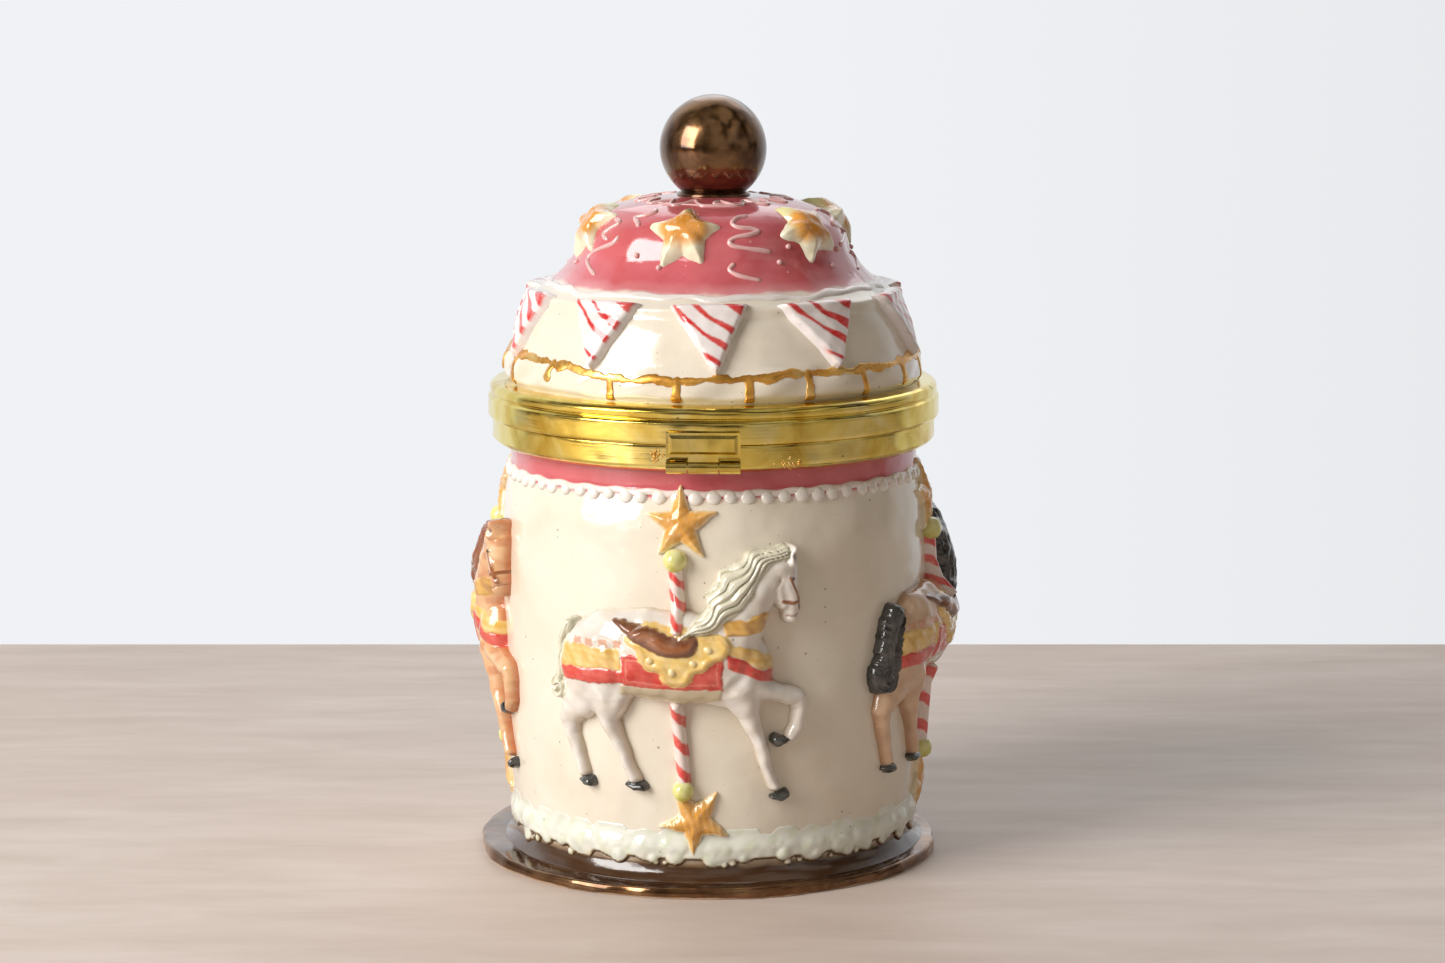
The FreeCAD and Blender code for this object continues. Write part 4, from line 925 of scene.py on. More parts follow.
def hair(u, v, line, widths, strands, seed):
    """A lock of hair along a line: distance, height of its strands from -1 to 1, share along it."""
    path = smooth_points([(*p, w) for p, w in zip(line, widths)], False, 8)
    d, share, side = line_distance(u, v, path[:, :2])
    width = np.interp(share, np.linspace(0, 1, len(path)), path[:, 2])
    width = width * (1 + 0.06 * np.sin(share * 31 + seed) + 0.04 * np.sin(share * 57 + 2 * seed))
    across = side * d / width
    waves = (across + 0.13 * np.sin(share * 9 + seed) + 0.06 * np.sin(share * 27 + 3 * seed)
             + 0.10 * ripple(u, v, 75, 7))
    ridge = np.abs(np.cos(waves * math.pi * strands / 2)) ** 0.5
    fine = np.cos(waves * math.pi * strands * 2.5 + 1.5 * np.sin(share * 14))
    return d - width, across, ridge + 0.10 * fine, share


def horse_form(u, v, tail_width):
    """The horse as modelled: distance, height, and masks for the paint."""
    wobble_u = u + 0.22 * ripple(u, v, 71, 9)
    wobble_v = v + 0.22 * ripple(u, v, 72, 9)
    x, y = wobble_u, wobble_v
    form = limb(x, y, TORSO)
    for leg in HIND_LEGS + FORE_LEGS:
        form = join(form, limb(x, y, leg), 1.4)
    form = join(form, limb(x, y, NECK), 2.2)
    form = join(form, limb(x, y, HEAD), 1.6)
    form = join(form, limb(x, y, JAW), 1.2)
    hoof = (np.full(u.shape, 1e9), np.zeros(u.shape))
    for chain in HOOVES:
        hoof = join(hoof, limb(x, y, [(a, b, r * 0.85, h) for a, b, r, h in chain]), 0.3)
    form = join(form, hoof, 0.5)
    ear = limb(x, y, EAR)
    distance, height = join(form, ear, 0.5)

    mane_d, mane_across, mane_ridge, _ = hair(x, y, MANE_LINE, MANE_WIDTH, 6, 1.0)
    mane_dome = (5.6 + 2.2 * step_up(90 - y, 0, 14)) * np.sqrt(np.clip(1 - mane_across ** 2 * 0.82, 0, 1))
    mane_h = np.where(mane_d < 0, mane_dome * np.clip(-mane_d / 0.6, 0, 1) ** 0.4 + 0.95 * (mane_ridge - 0.6), 0)
    widths = [w * tail_width for w in (1.6, 1.7, 1.7, 1.9, 2.4)]
    tail_d, tail_across, tail_ridge, _ = hair(x, y, TAIL_LINE, widths, 3, 2.0)
    puff_r = np.hypot(x + 34.3, y - 53.4)
    puff_angle = np.arctan2(y - 53.4, x + 34.3)
    puff_d = puff_r - 3.7 - 0.3 * np.sin(5 * puff_angle)
    tail_dome = 4.6 * np.sqrt(np.clip(1 - 0.85 * tail_across ** 2, 0, 1))
    tail_h = np.where(tail_d < 0, tail_dome + 0.5 * (tail_ridge - 0.5), 0)
    puff_h = np.where(puff_d < 0, 5.0 * np.sqrt(np.clip(1 - (puff_r / 4.2) ** 2, 0, 1))
                      + 0.5 * np.cos(2 * puff_angle + 3.4 * puff_r), 0)
    tail_h = np.maximum(tail_h, puff_h)
    tail_d = np.minimum(tail_d, puff_d)
    hair_d = np.minimum(mane_d, tail_d)
    hair_h = np.maximum(mane_h, tail_h)
    distance = np.minimum(distance, hair_d)

    marks = {name: outline_distance(x, y, points) for name, points in (
        ("cloth", smooth_points(CLOTH, True, 3)), ("saddle", smooth_points(SADDLE, True, 4)),
        ("breast", BREAST), ("breast_red", BREAST_RED), ("strap", NECK_STRAP), ("panel", PANEL),
        ("girth", GIRTH), ("rear_yellow", REAR_YELLOW), ("rear_red", REAR_RED))}
    body = height > 0.8
    raised = np.zeros(u.shape)
    for name, lift, edge in (("panel", 0.35, 0.4), ("girth", 0.25, 0.5), ("rear_yellow", 0.25, 0.4),
                             ("rear_red", 0.4, 0.4), ("breast", 0.35, 0.4), ("breast_red", 0.3, 0.4),
                             ("strap", 0.4, 0.4), ("cloth", 0.8, 0.6)):
        raised = np.maximum(raised, lift * step_up(-marks[name], -0.05, edge))
    scallop = step_up(-marks["cloth"], 0.0, 1.4) * (1 - step_up(-marks["cloth"], 1.4, 2.6))
    raised = raised + 0.3 * scallop
    pearl = np.zeros(u.shape)
    for px, py in PEARLS:
        pearl = np.maximum(pearl, np.sqrt(np.clip(1 - ((x - px) ** 2 + (y - py) ** 2) / 0.8, 0, 1)))
    raised = raised + 0.6 * pearl
    saddle = np.sqrt(np.clip(-marks["saddle"] / 2.2, 0, 1))
    raised = raised + 1.5 * saddle
    height = height + raised * step_up(height, 0.3, 1.6)
    seat = -marks["saddle"]
    height = np.where((marks["saddle"] < 0) & (height < 1.4), np.minimum(1.2 + seat, 3.0), height)
    distance = np.minimum(distance, marks["saddle"])

    hair_on = ((hair_h > height - 0.3) & (hair_d < 0)) | ((tail_d < 0.1) & (hair_h > height - 2.4))
    height = np.maximum(height, hair_h)
    mouth_d, _, _ = line_distance(x, y, [(26.8, 74.5), (28.6, 74.3), (30.8, 75.4)])
    nostril = np.hypot(x - 29.9, (y - 77.0) * 0.8)
    eye = np.hypot(x - 28.2, (y - 84.2) * 1.25)
    cheek, _, _ = line_distance(x, y, [(24.4, 78.6), (23.6, 81.4), (24.8, 84.0)])
    height = height - 0.35 * (1 - step_up(mouth_d, 0.1, 0.45)) - 0.5 * (1 - step_up(nostril, 0.1, 0.6))
    height = height + 0.4 * (1 - step_up(eye, 0.2, 1.0)) - 0.4 * (1 - step_up(cheek, 0.1, 0.8))
    rein, _, _ = line_distance(x, y, [(27.4, 84.4), (29.2, 80.2), (30.2, 76.0)])
    noseband, _, _ = line_distance(x, y, [(25.6, 78.4), (28.2, 78.0), (31.0, 78.8)])
    bridle = np.minimum(rein, noseband)
    height = height + 0.25 * (1 - step_up(bridle, 0.25, 0.6))
    hollow = np.hypot((x - 28.6) * 1.3, (y - 89.2) * 0.8)
    height = height - 0.8 * (1 - step_up(hollow, 0.3, 1.1)) * (ear[1] > 0.5)
    shoulder, _, _ = line_distance(x, y, [(17.5, 66), (16, 60), (12.5, 56)])
    haunch, _, _ = line_distance(x, y, [(-16, 66), (-14.6, 58), (-17.5, 52)])
    height = height - 0.5 * (1 - step_up(shoulder, 0, 2.2)) * body - 0.5 * (1 - step_up(haunch, 0, 2.2)) * body
    height = np.maximum(height + 0.10 * ripple(u, v, 74, 3.2) * step_up(height, 0.5, 2.5), 0.05)
    marks.update(hair=hair_on, ridge=np.where(mane_d < tail_d, mane_ridge, tail_ridge), hoof=hoof[0], mouth=mouth_d,
                 nostril=nostril, eye=eye, bridle=bridle, hollow=hollow, ear=ear[1], pearl=pearl, x=x, y=y)
    return distance, height, marks


def horse_paint(u, v, height, marks, look):
    x, y = marks["x"] + 0.12 * ripple(u, v, 81, 1.5), marks["y"] + 0.12 * ripple(u, v, 82, 1.5)
    shape = u.shape
    paint = np.broadcast_to(look["coat"], (*shape, 3)).copy()
    cloudy = 0.5 + 0.5 * ripple(u, v, 83, 7)
    paint = mix(paint, look["shade"], 0.30 * np.clip(cloudy, 0, 1))
    # Painted shade: the coat is darkened towards its low edges, where the relief meets the wall.
    paint = mix(paint, look["shade"], 0.9 * (1 - step_up(height, 0.3, 2.8)))
    dapples = step_up(ripple(u, v, 84, 4.5), -0.1, 1.3)
    paint = mix(paint, look["shade"], look["dapple"] * dapples)
    mark = dict((name, marks[name] + 0.16 * ripple(u, v, 85 + k, 2.2)) for k, name in enumerate(
        ("cloth", "saddle", "breast", "breast_red", "strap", "panel", "girth", "rear_yellow", "rear_red")))

    def lay(base, tint, distance, soft=0.25, cover=1.0):
        return mix(base, tint, cover * (1 - step_up(distance, -soft, soft)))

    patchy = np.clip(0.5 + 0.5 * ripple(u, v, 96, 2.6), 0, 1)
    dash = (np.abs(y - 67.2 - 0.02 * (x + 20)) < 0.9) & (x > -29) & (x < -12.5) & (np.sin(x * 1.6) > -0.35)
    paint = mix(paint, colour(216, 150, 118), 0.8 * dash)
    paint = lay(paint, colour(206, 190, 158), mark["girth"], 0.5)
    brushed = mix(np.broadcast_to(YELLOW, (*shape, 3)), colour(244, 214, 146), 0.7 * patchy)
    paint = mix(paint, brushed, 1 - step_up(np.minimum(mark["rear_yellow"], mark["breast"]), -0.25, 0.25))
    scarlet = mix(np.broadcast_to(RED, (*shape, 3)), colour(232, 104, 82), 0.45 * patchy)
    for name in ("rear_red", "breast_red", "panel"):
        paint = mix(paint, scarlet, 1 - step_up(mark[name], -0.2, 0.2))
    line = np.abs(outline_distance(x, y, PANEL_LINE))
    paint = mix(paint, colour(240, 150, 130), 0.55 * (1 - step_up(line, 0.1, 0.3)))
    strap = mix(np.broadcast_to(colour(196, 142, 70), (*shape, 3)), YELLOW, patchy)
    paint = mix(paint, strap, 1 - step_up(mark["strap"], -0.2, 0.3))
    cloth = mix(np.broadcast_to(colour(236, 196, 104), (*shape, 3)), colour(250, 224, 160), 0.6 * patchy)
    paint = mix(paint, cloth, 1 - step_up(mark["cloth"], -0.1, 0.25))
    ring = np.abs(mark["cloth"] + 1.1)
    paint = mix(paint, colour(206, 146, 60), 0.45 * (1 - step_up(ring, 0.1, 0.45)) * (mark["cloth"] < 0))
    paint = mix(paint, colour(246, 226, 178), 0.8 * marks["pearl"])
    saddle = mix(np.broadcast_to(LEATHER, (*shape, 3)), LEATHER_LIGHT, 0.7 * step_up(-mark["saddle"], 0.6, 2.0))
    paint = mix(paint, saddle, 1 - step_up(mark["saddle"], -0.1, 0.25))
    # Painted shade: the grooves between the strands are painted darker than the strand tops.
    strand_top = step_up(marks["ridge"], 0.1, 0.8)
    locks = mix(np.broadcast_to(look["groove"], (*shape, 3)), look["mane"], strand_top)
    paint = np.where(marks["hair"][..., None], locks, paint)
    paint = lay(paint, colour(150, 88, 44), marks["bridle"] - 0.45, 0.12)
    paint = lay(paint, colour(60, 34, 26), marks["eye"] - 0.55, 0.15)
    paint = lay(paint, colour(130, 66, 50), marks["nostril"] - 0.3, 0.2, 0.8)
    paint = lay(paint, colour(158, 96, 76), marks["mouth"] - 0.2, 0.15, 0.8)
    # Painted shade: the hollow of the ear is painted dark brown.
    paint = mix(paint, colour(90, 52, 40), 0.8 * (1 - step_up(marks["hollow"], 0.3, 1.0)) * (marks["ear"] > 0.5))
    hoof = mix(np.broadcast_to(colour(28, 30, 30), (*shape, 3)), colour(78, 82, 82), 0.4 * patchy)
    return mix(paint, hoof, 1 - step_up(marks["hoof"] - 0.15, -0.15, 0.15))


def make_horses():
    fields = {}

    def field_for(look):
        def field(u, v):
            key = (u.shape, float(u.sum()), float(v.sum()), look["tail"])
            if key not in fields:
                fields[key] = horse_form(u, v, look["tail"])
            distance, height, marks = fields[key]
            return distance, height, horse_paint(u, v, height, marks, look)
        return field

    for side, turn in DECOR_SIDES.items():
        points, faces, paint = relief((-40, 34), (22, 95), 0.24, field_for(HORSES[side]), on_pot(DECOR_TURN + turn))
        thing = make_mesh("horse_" + side + "_relief", points, faces, paint)
        finish_piece(thing, "jar", [painted_glaze], ["horse_" + side])


# ---- Poles, balls and stars ----


def stripe_paint(u, v, slant, spacing, width, offset, seed):
    base = np.broadcast_to(colour(240, 222, 214), (*u.shape, 3))
    across = (v + slant * u + offset) / spacing
    off = np.abs(across - np.round(across)) * spacing + 0.12 * ripple(u, v, seed, 1.6)
    patchy = np.clip(0.5 + 0.5 * ripple(u, v, seed + 1, 2.0), 0, 1)
    red = mix(np.broadcast_to(colour(226, 58, 54), (*u.shape, 3)), colour(236, 110, 96), 0.5 * patchy)
    return mix(base, red, 1 - step_up(off, width / 2 - 0.2, width / 2 + 0.2))


def make_poles():
    upper = [(-1.3, 86.6, 1.95, 2.7), (-0.9, 80, 2.0, 2.9), (-0.5, 75.5, 2.0, 4.6), (-0.2, 71.4, 2.0, 8.6)]
    lower = [(-0.9, 50.4, 2.0, 4.6), (-0.7, 46, 2.0, 3.0), (0.1, 38, 2.0, 2.8), (0.6, 30.0, 1.95, 2.7)]

    def field(u, v):
        x = u + 0.12 * ripple(u, v, 91, 7)
        d0, h0 = limb(x, v, upper)
        d1, h1 = limb(x, v, lower)
        paint = stripe_paint(x, v, 0.95, 5.0, 2.2, 2.2, 92)
        low = stripe_paint(x, v, 0.95, 7.1, 2.9, 2.2, 94)
        paint = np.where((v < 60)[..., None], low, paint)
        return np.minimum(d0, d1), np.maximum(np.maximum(h0, h1), 0.1), paint

    for side, turn in DECOR_SIDES.items():
        points, faces, paint = relief((-6, 6), (26, 90), 0.22, field, on_pot(DECOR_TURN + turn))
        thing = make_mesh("pole_" + side + "_relief", points, faces, paint)
        finish_piece(thing, "jar", [painted_glaze], ["pole_" + side])


def make_pole_balls():
    for name, node, along, level, radius in (("upper_balls", "upper_pole_balls", -1.3, 88.5, 3.1),
                                             ("lower_balls", "lower_pole_balls", 0.5, 27.9, 2.8)):
        parts = []
        for k, turn in enumerate(DECOR_SIDES.values()):
            put = on_pot(DECOR_TURN + turn)
            centre = put(np.array([along]), np.array([level]), np.array([1.5]))[0]
            points, faces, unit = ball_points(centre, radius, 101 + k, lumps=0.02)
            light = np.clip(0.45 + 0.5 * unit[:, 2] + 0.25 * ripple(unit[:, 0] * 3, unit[:, 2] * 3, 105 + k, 3), 0, 1)
            paint = mix(np.broadcast_to(colour(214, 208, 92), unit.shape), colour(240, 238, 172), light)
            parts.append((points, faces, paint))
        finish_piece(make_mesh(name, *gather(parts)), "jar", [painted_glaze], [node])


STAR_ARMS = 5


def star_outline(outer, inner, turn, seed):
    draws = np.random.default_rng(seed)
    points = []
    for k in range(STAR_ARMS * 2):
        reach = (outer if k % 2 == 0 else inner) * (1 + draws.uniform(-0.06, 0.06))
        angle = math.radians(turn) + math.pi * k / STAR_ARMS + draws.uniform(-0.05, 0.05)
        points.append((reach * math.cos(angle), reach * math.sin(angle)))
    return points


def star_field(outer, inner, turn, top, seed, tints, puff=False, rounding=0.5):
    """A star whose arms rise to ridges, or puff up where puff is set; pale towards some edges."""
    points = star_outline(outer - rounding, inner - rounding * 0.4, turn, seed)
    centre, middle, edge = tints

    def field(u, v):
        x, y = u + 0.10 * ripple(u, v, seed, 4), v + 0.10 * ripple(u, v, seed + 1, 4)
        distance = outline_distance(x, y, points) - rounding
        depth = np.clip(-distance, 0, None)
        reach = np.hypot(u, v)
        if puff:
            height = top * (1 - np.exp(-depth / 1.2)) * (1 - 0.25 * step_up(reach, 0.4 * outer, outer))
            height += 0.05 * top * ripple(u, v, seed + 3, 5.0) * step_up(depth, 0.3, 1.5)
        else:
            height = 0.5 + 0.74 * top * (1 - np.exp(-depth / 1.9))
            height = height + 0.10 * ripple(u, v, seed + 3, 2.5)
        lean = 0.5 + 0.5 * np.clip((-0.7 * u - 0.35 * v) / outer * 1.4 + 0.3 * ripple(u, v, seed + 5, 5), -1, 1)
        paint = mix(np.broadcast_to(centre, (*u.shape, 3)), middle,
                    np.clip(step_up(reach, 0.32 * outer, 0.75 * outer) * (0.35 + 0.65 * lean), 0, 1))
        pale = (1 - step_up(depth, 0.1, 0.9)) * (0.35 + 0.65 * lean) + 0.7 * step_up(reach, 0.8 * outer, outer) * lean
        paint = mix(paint, edge, np.clip(pale, 0, 1))
        streak = step_up(ripple(u * 2, v, seed + 7, 2.2), 0.7, 1.5)
        return distance, np.maximum(height, 0.05), mix(paint, edge, 0.35 * streak)

    return field


def make_wall_stars():
    tints = (colour(228, 162, 66), colour(236, 192, 108), colour(246, 232, 198))
    parts_up, parts_low = [], []
    for k, turn in enumerate(DECOR_SIDES.values()):
        put = on_pot(DECOR_TURN + turn)
        up = star_field(9.9, 4.1, 92, 3.2, 121 + 10 * k, tints)
        parts_up.append(relief((-11, 11), (-11, 11), 0.22, up, lambda u, v, h, p=put: p(u - 0.2, v + 97.5, h)))
        low = star_field(10.0, 4.2, 270 - 4, 3.2, 161 + 10 * k, tints)
        parts_low.append(relief((-12, 12), (-12, 12), 0.22, low, lambda u, v, h, p=put: p(u + 3.4, v + 19.6, h)))
    finish_piece(make_mesh("upper_star_set", *gather(parts_up)), "jar", [painted_glaze],
                 ["upper_stars"])
    finish_piece(make_mesh("lower_star_set", *gather(parts_low)), "jar", [painted_glaze],
                 ["lower_stars"])


def make_dome_stars():
    tints = (colour(222, 146, 48), colour(226, 170, 66), colour(240, 232, 190))
    parts = []
    for k in range(6):
        field = star_field(9.8, 5.2, 92 + 16 * (k % 2), 3.4, 201 + 10 * k, tints, True, 1.0)

        def lit(u, v, field=field):
            distance, height, paint = field(u, v)
            # Painted highlight: the lower and outer parts of each star are painted near-white.
            low = np.clip(step_up(-v, 2.5, 6.5) + step_up(np.hypot(u, v), 5.0, 8.0), 0, 1) * 0.85
            paint = mix(paint, colour(242, 240, 214), low)
            high = step_up(v - 0.4 * u, 5.0, 8.5) * 0.7
            return distance, height, mix(paint, colour(226, 224, 140), high)

        put = lid.place_flat(32.8, 169.4, 41, math.radians(-13 + 60 * k))
        parts.append(relief((-12, 12), (-12, 12), 0.24, lit, put, sink=0.8))
    finish_piece(make_mesh("dome_star_set", *gather(parts)), "lid", [painted_glaze], ["dome_stars"])


# ---- Beads, frill and slip lines ----


def make_beads():
    """Slip beads on the line where the cream meets the pink."""
    count = 74
    parts = []
    draws = np.random.default_rng(7)
    for k in range(count):
        angle = TAU * k / count + draws.uniform(-0.008, 0.008)
        radius = 1.85 * draws.uniform(0.9, 1.1)
        level = 104.3 + draws.uniform(-0.25, 0.25)

        def field(u, v, radius=radius):
            d = np.hypot(u, v * 1.06)
            height = 0.95 * np.sqrt(np.clip(1 - (d / radius) ** 2, 0, 1)) + 0.02
            return d - radius, height, np.broadcast_to(colour(240, 234, 226), (*u.shape, 3))

        parts.append(relief((-2.4, 2.4), (-2.4, 2.4), 0.3, field,
                            lambda u, v, h, a=angle, z=level: pot.place(a + u / 55.5, v + z, h)))

    def line(u, v):
        middle = 0.25 * np.sin(u * 6 / 9) + 0.3
        d = np.abs(v - middle) - 0.9
        height = 0.55 * np.sqrt(np.clip(1 - ((v - middle) / 0.9) ** 2, 0, 1)) + 0.02
        return d, height, np.broadcast_to(colour(238, 226, 220), (*u.shape, 3))

    parts.append(relief((0, TAU * 55.5), (-1.5, 2.1), 0.3, line,
                        lambda u, v, h: pot.place(u / 55.5, v + 105.0, h), closed=True))
    finish_piece(make_mesh("bead_line", *gather(parts)), "jar", [painted_glaze], ["bead_trim"])


def make_frill():
    """A pressed frill of soft lobes round the foot, brown between them and along their lower edge: partly glaze pooled
    there, partly painted shade under the lobes.
    """
    arc = 56.0
    count = 38
    draws = np.random.default_rng(17)
    lobes = []
    for k in range(count):
        at = TAU * arc * (k + draws.uniform(-0.18, 0.18)) / count
        lobes.append((at, 12.0 + draws.uniform(-0.9, 1.1), draws.uniform(4.4, 6.0), draws.uniform(1.0, 1.7)))
        lobes.append((at + draws.uniform(-3, 3), 9.0 + draws.uniform(-0.8, 1.2), draws.uniform(2.0, 3.4),
                      draws.uniform(0.9, 1.6)))
        lobes.append((at + draws.uniform(-4, 4), 7.7 + draws.uniform(-0.5, 0.8), draws.uniform(0.8, 1.5),
                      draws.uniform(0.7, 1.1)))

    def field(u, v):
        total = np.zeros(u.shape)
        height = np.zeros(u.shape)
        edge = np.full(u.shape, 1e9)
        for at, level, radius, top in lobes:
            across = (u - at + TAU * arc / 2) % (TAU * arc) - TAU * arc / 2
            near = np.abs(across) < radius * 1.6
            d = np.hypot(across, (v - level) * 1.05) / radius
            bump = np.where(near, np.sqrt(np.clip(1 - d ** 2, 0, 1)), 0)
            total += np.where(near, np.clip(1 - d ** 2, 0, 1), 0)
            height = np.maximum(height, top * bump)
            edge = np.minimum(edge, np.where(near, (d - 1) * radius, 1e9))
        upper = np.maximum(v - 15.4 - 0.5 * np.sin(u / 4.7), 8.5 - v)
        edge = np.minimum(edge, upper)
        fade = 1 - step_up(v, 11.5, 16.0)
        height = np.maximum(height * fade, 0.9 * fade * step_up(v, 7.0, 9.5))
        height = height + 0.06 * ripple(u, v, 18, 3.0) * step_up(height, 0.3, 1.0)
        # Partly pooled glaze and partly painted shade: brown in the dips between the lobes and under their lower edge,
        # darkest where it is strongest.
        dip = (1 - step_up(total, 0.05, 0.5)) * (1 - step_up(v, 8.4, 10.2))
        brown = np.clip(dip + (1 - step_up(-edge, 0.1, 1.3)) * (1 - step_up(v, 8.8, 11.0)), 0, 1)
        paint = np.broadcast_to(colour(234, 236, 224), (*u.shape, 3))
        paint = mix(paint, colour(214, 222, 190), 0.5 * np.clip(ripple(u, v, 19, 5), 0, 1))
        paint = mix(paint, colour(180, 150, 80), 0.8 * brown)
        paint = mix(paint, colour(96, 66, 40), step_up(brown, 0.75, 1.0))
        return edge, np.maximum(height, 0.02), paint

    points, faces, paint = relief((0, TAU * arc), (4.5, 17.0), 0.42, field,
                                  lambda u, v, h: pot.place(u / arc, v, h), closed=True, sink=0.5)
    finish_piece(make_mesh("foot_frill", points, faces, paint), "jar", [painted_glaze], ["frill"])


def gold_level(angle):
    """The gold line wanders up and down as it goes round."""
    front = np.array([-180, -90, -65, -45, -35, -25, -10, 0, 10, 22, 35, 50, 70, 110, 180])
    levels = np.array([135.5, 136.6, 137.0, 136.4, 135.1, 134.3, 134.3, 134.9, 134.9, 135.7, 135.8, 135.5, 136.0,
                       135.2, 135.5])
    turned = (np.degrees(angle) + 180) % 360 - 180
    return np.interp(turned, front, levels)


def make_gold():
    arc = 55.5
    drips = [(-68, 7.0, -2.6), (-49, 3.4, -1.0), (-28.5, 7.0, 0.4), (-9.5, 5.0, -0.2), (9.5, 6.6, 0.0), (26, 6.6, 0.4),
             (43, 7.4, 2.4), (62, 5.0, 1.0), (81, 6.4, 0.2)]
    drips += [(81 + 19.2 * k, 4.6 + 2.2 * ((k * 7) % 5) / 4, 0.3 * ((k * 3) % 5 - 2)) for k in range(1, 11)]

    def field(u, v):
        angle = u / arc
        level = gold_level(angle) + 0.25 * around_ripple(angle, 0, 29, (17, 29, 41), 10)
        half = 0.9 + 0.32 * around_ripple(angle, 0, 27, (13, 23, 37, 53), 10)
        distance = np.abs(v - level) - half
        for azimuth, length, lean in drips:
            at = math.radians(azimuth) * arc
            across = (u - at + math.pi * arc) % (TAU * arc) - math.pi * arc
            start = float(gold_level(np.array(math.radians(azimuth))))
            t = np.clip((start - v) / length, 0, 1)
            width = 1.1 + 0.3 * t - 0.8 * t * (1 - t)
            d = np.hypot(across - lean * t, v - (start - length * t))
            distance = np.minimum(distance, d - width)
        distance = distance + 0.12 * ripple(u, v, 28, 2.0)
        height = 0.16 * (1 - np.exp(np.clip(distance, None, 0) / 0.35)) + 0.03
        return distance, height, np.broadcast_to(colour(226, 168, 76), (*u.shape, 3))

    points, faces, paint = relief((0, TAU * arc), (128.9, 140), 0.3, field,
                                  lambda u, v, h: lid.place(u / arc, v, h + 0.12 + ledge_lumps(u / arc, v)),
                                  closed=True, sink=0.25)
    finish_piece(make_mesh("gold_line", points, faces, paint), "lid", [gold_lustre])


def flag_field(seed, half_width, lean):
    """A pennant of thick rolled clay with painted stripes."""
    top, tip = 8.5, -10.4
    outline = [(-half_width, top), (-half_width + 0.9, top - 1.9), (lean - 1.2, tip + 1.0), (lean, tip),
               (lean + 1.2, tip + 1.1), (half_width - 0.7, top - 1.6), (half_width, top + 0.3)]
    draws = np.random.default_rng(seed)
    levels = [c + draws.uniform(-0.6, 0.6) for c in (-6.2, -0.6, 4.6, 10.6)]
    widths = [draws.uniform(1.0, 1.6), draws.uniform(1.6, 2.2), draws.uniform(2.2, 3.0), draws.uniform(2.0, 2.8)]
    bend = draws.uniform(0.020, 0.040)
    starts = [draws.uniform(-4.5, -2.5), -20, draws.uniform(-6.0, -4.0), -20]

    def field(u, v):
        x, y = u + 0.12 * ripple(u, v, seed, 6), v + 0.12 * ripple(u, v, seed + 1, 6)
        distance = outline_distance(x, y, outline)
        depth = np.clip(-distance, 0, None)
        height = 2.7 * (1 - np.exp(-depth / 0.3)) + 0.06 * ripple(u, v, seed + 2, 5)
        paint = np.broadcast_to(colour(240, 232, 230), (*u.shape, 3))
        for c, w, start in zip(levels, widths, starts):
            middle = c - 0.72 * u + bend * u * u + 0.2 * np.sin(u * 0.9 + c)
            fat = w / 2 * (0.8 + 0.3 * np.sin(u * 0.35 + c)) * step_up(u, start, start + 2.5)
            off = np.abs(v - middle) * 0.86 + 0.07 * ripple(u, v, seed + 4, 2.2)
            dry = 0.25 * np.clip(ripple(u * 0.5 + v * 0.6, v * 2, seed + 5, 1.6), 0, 1)
            cover = (1 - step_up(off, fat - 0.22, fat + 0.22)) * step_up(depth, 0.15, 0.6)
            red = mix(np.broadcast_to(colour(212, 34, 36), (*u.shape, 3)), colour(236, 108, 100), dry)
            paint = mix(paint, red, cover)
        return distance, np.maximum(height, 0.05), paint

    return field


def make_flags():
    parts = []
    for k in range(10):
        shift = (-1.2, -2.6, 1.0, -0.5, 1.5)[k % 5]
        put = lid.place_flat(50.6, 145.2, 25, math.radians(shift + 36 * k))
        field = flag_field(301 + 10 * k, (9.9, 11.2, 10.2, 10.6, 9.7)[k % 5], (1.8, 1.6, 0.6, 2.0, 0.2)[k % 5])
        parts.append(relief((-13, 13), (-12.5, 10.5), 0.25, field, put, sink=0.6))
    finish_piece(make_mesh("pennants", *gather(parts)), "lid", [painted_glaze], ["bunting_flags"])


SLIP_STEPS = 7
SLIP_SUNK = 0.12


def slip_line(points, radius, tint):
    """A trailed line of slip on the lid through (azimuth, level), thin at both ends."""
    path = smooth_points(points, False, SLIP_STEPS)
    angle, level = np.radians(path[:, 0]), path[:, 1]
    count = len(path)
    swell = 1 + 0.12 * np.sin(np.arange(count) * 0.35 + path[0, 0])
    taper = np.clip(np.minimum(np.arange(count), np.arange(count)[::-1]) / 3.0 + 0.35, 0, 1)
    centre = lid.place(angle, level, np.full(count, -SLIP_SUNK))
    return tube(centre, radius * swell * taper, tint)


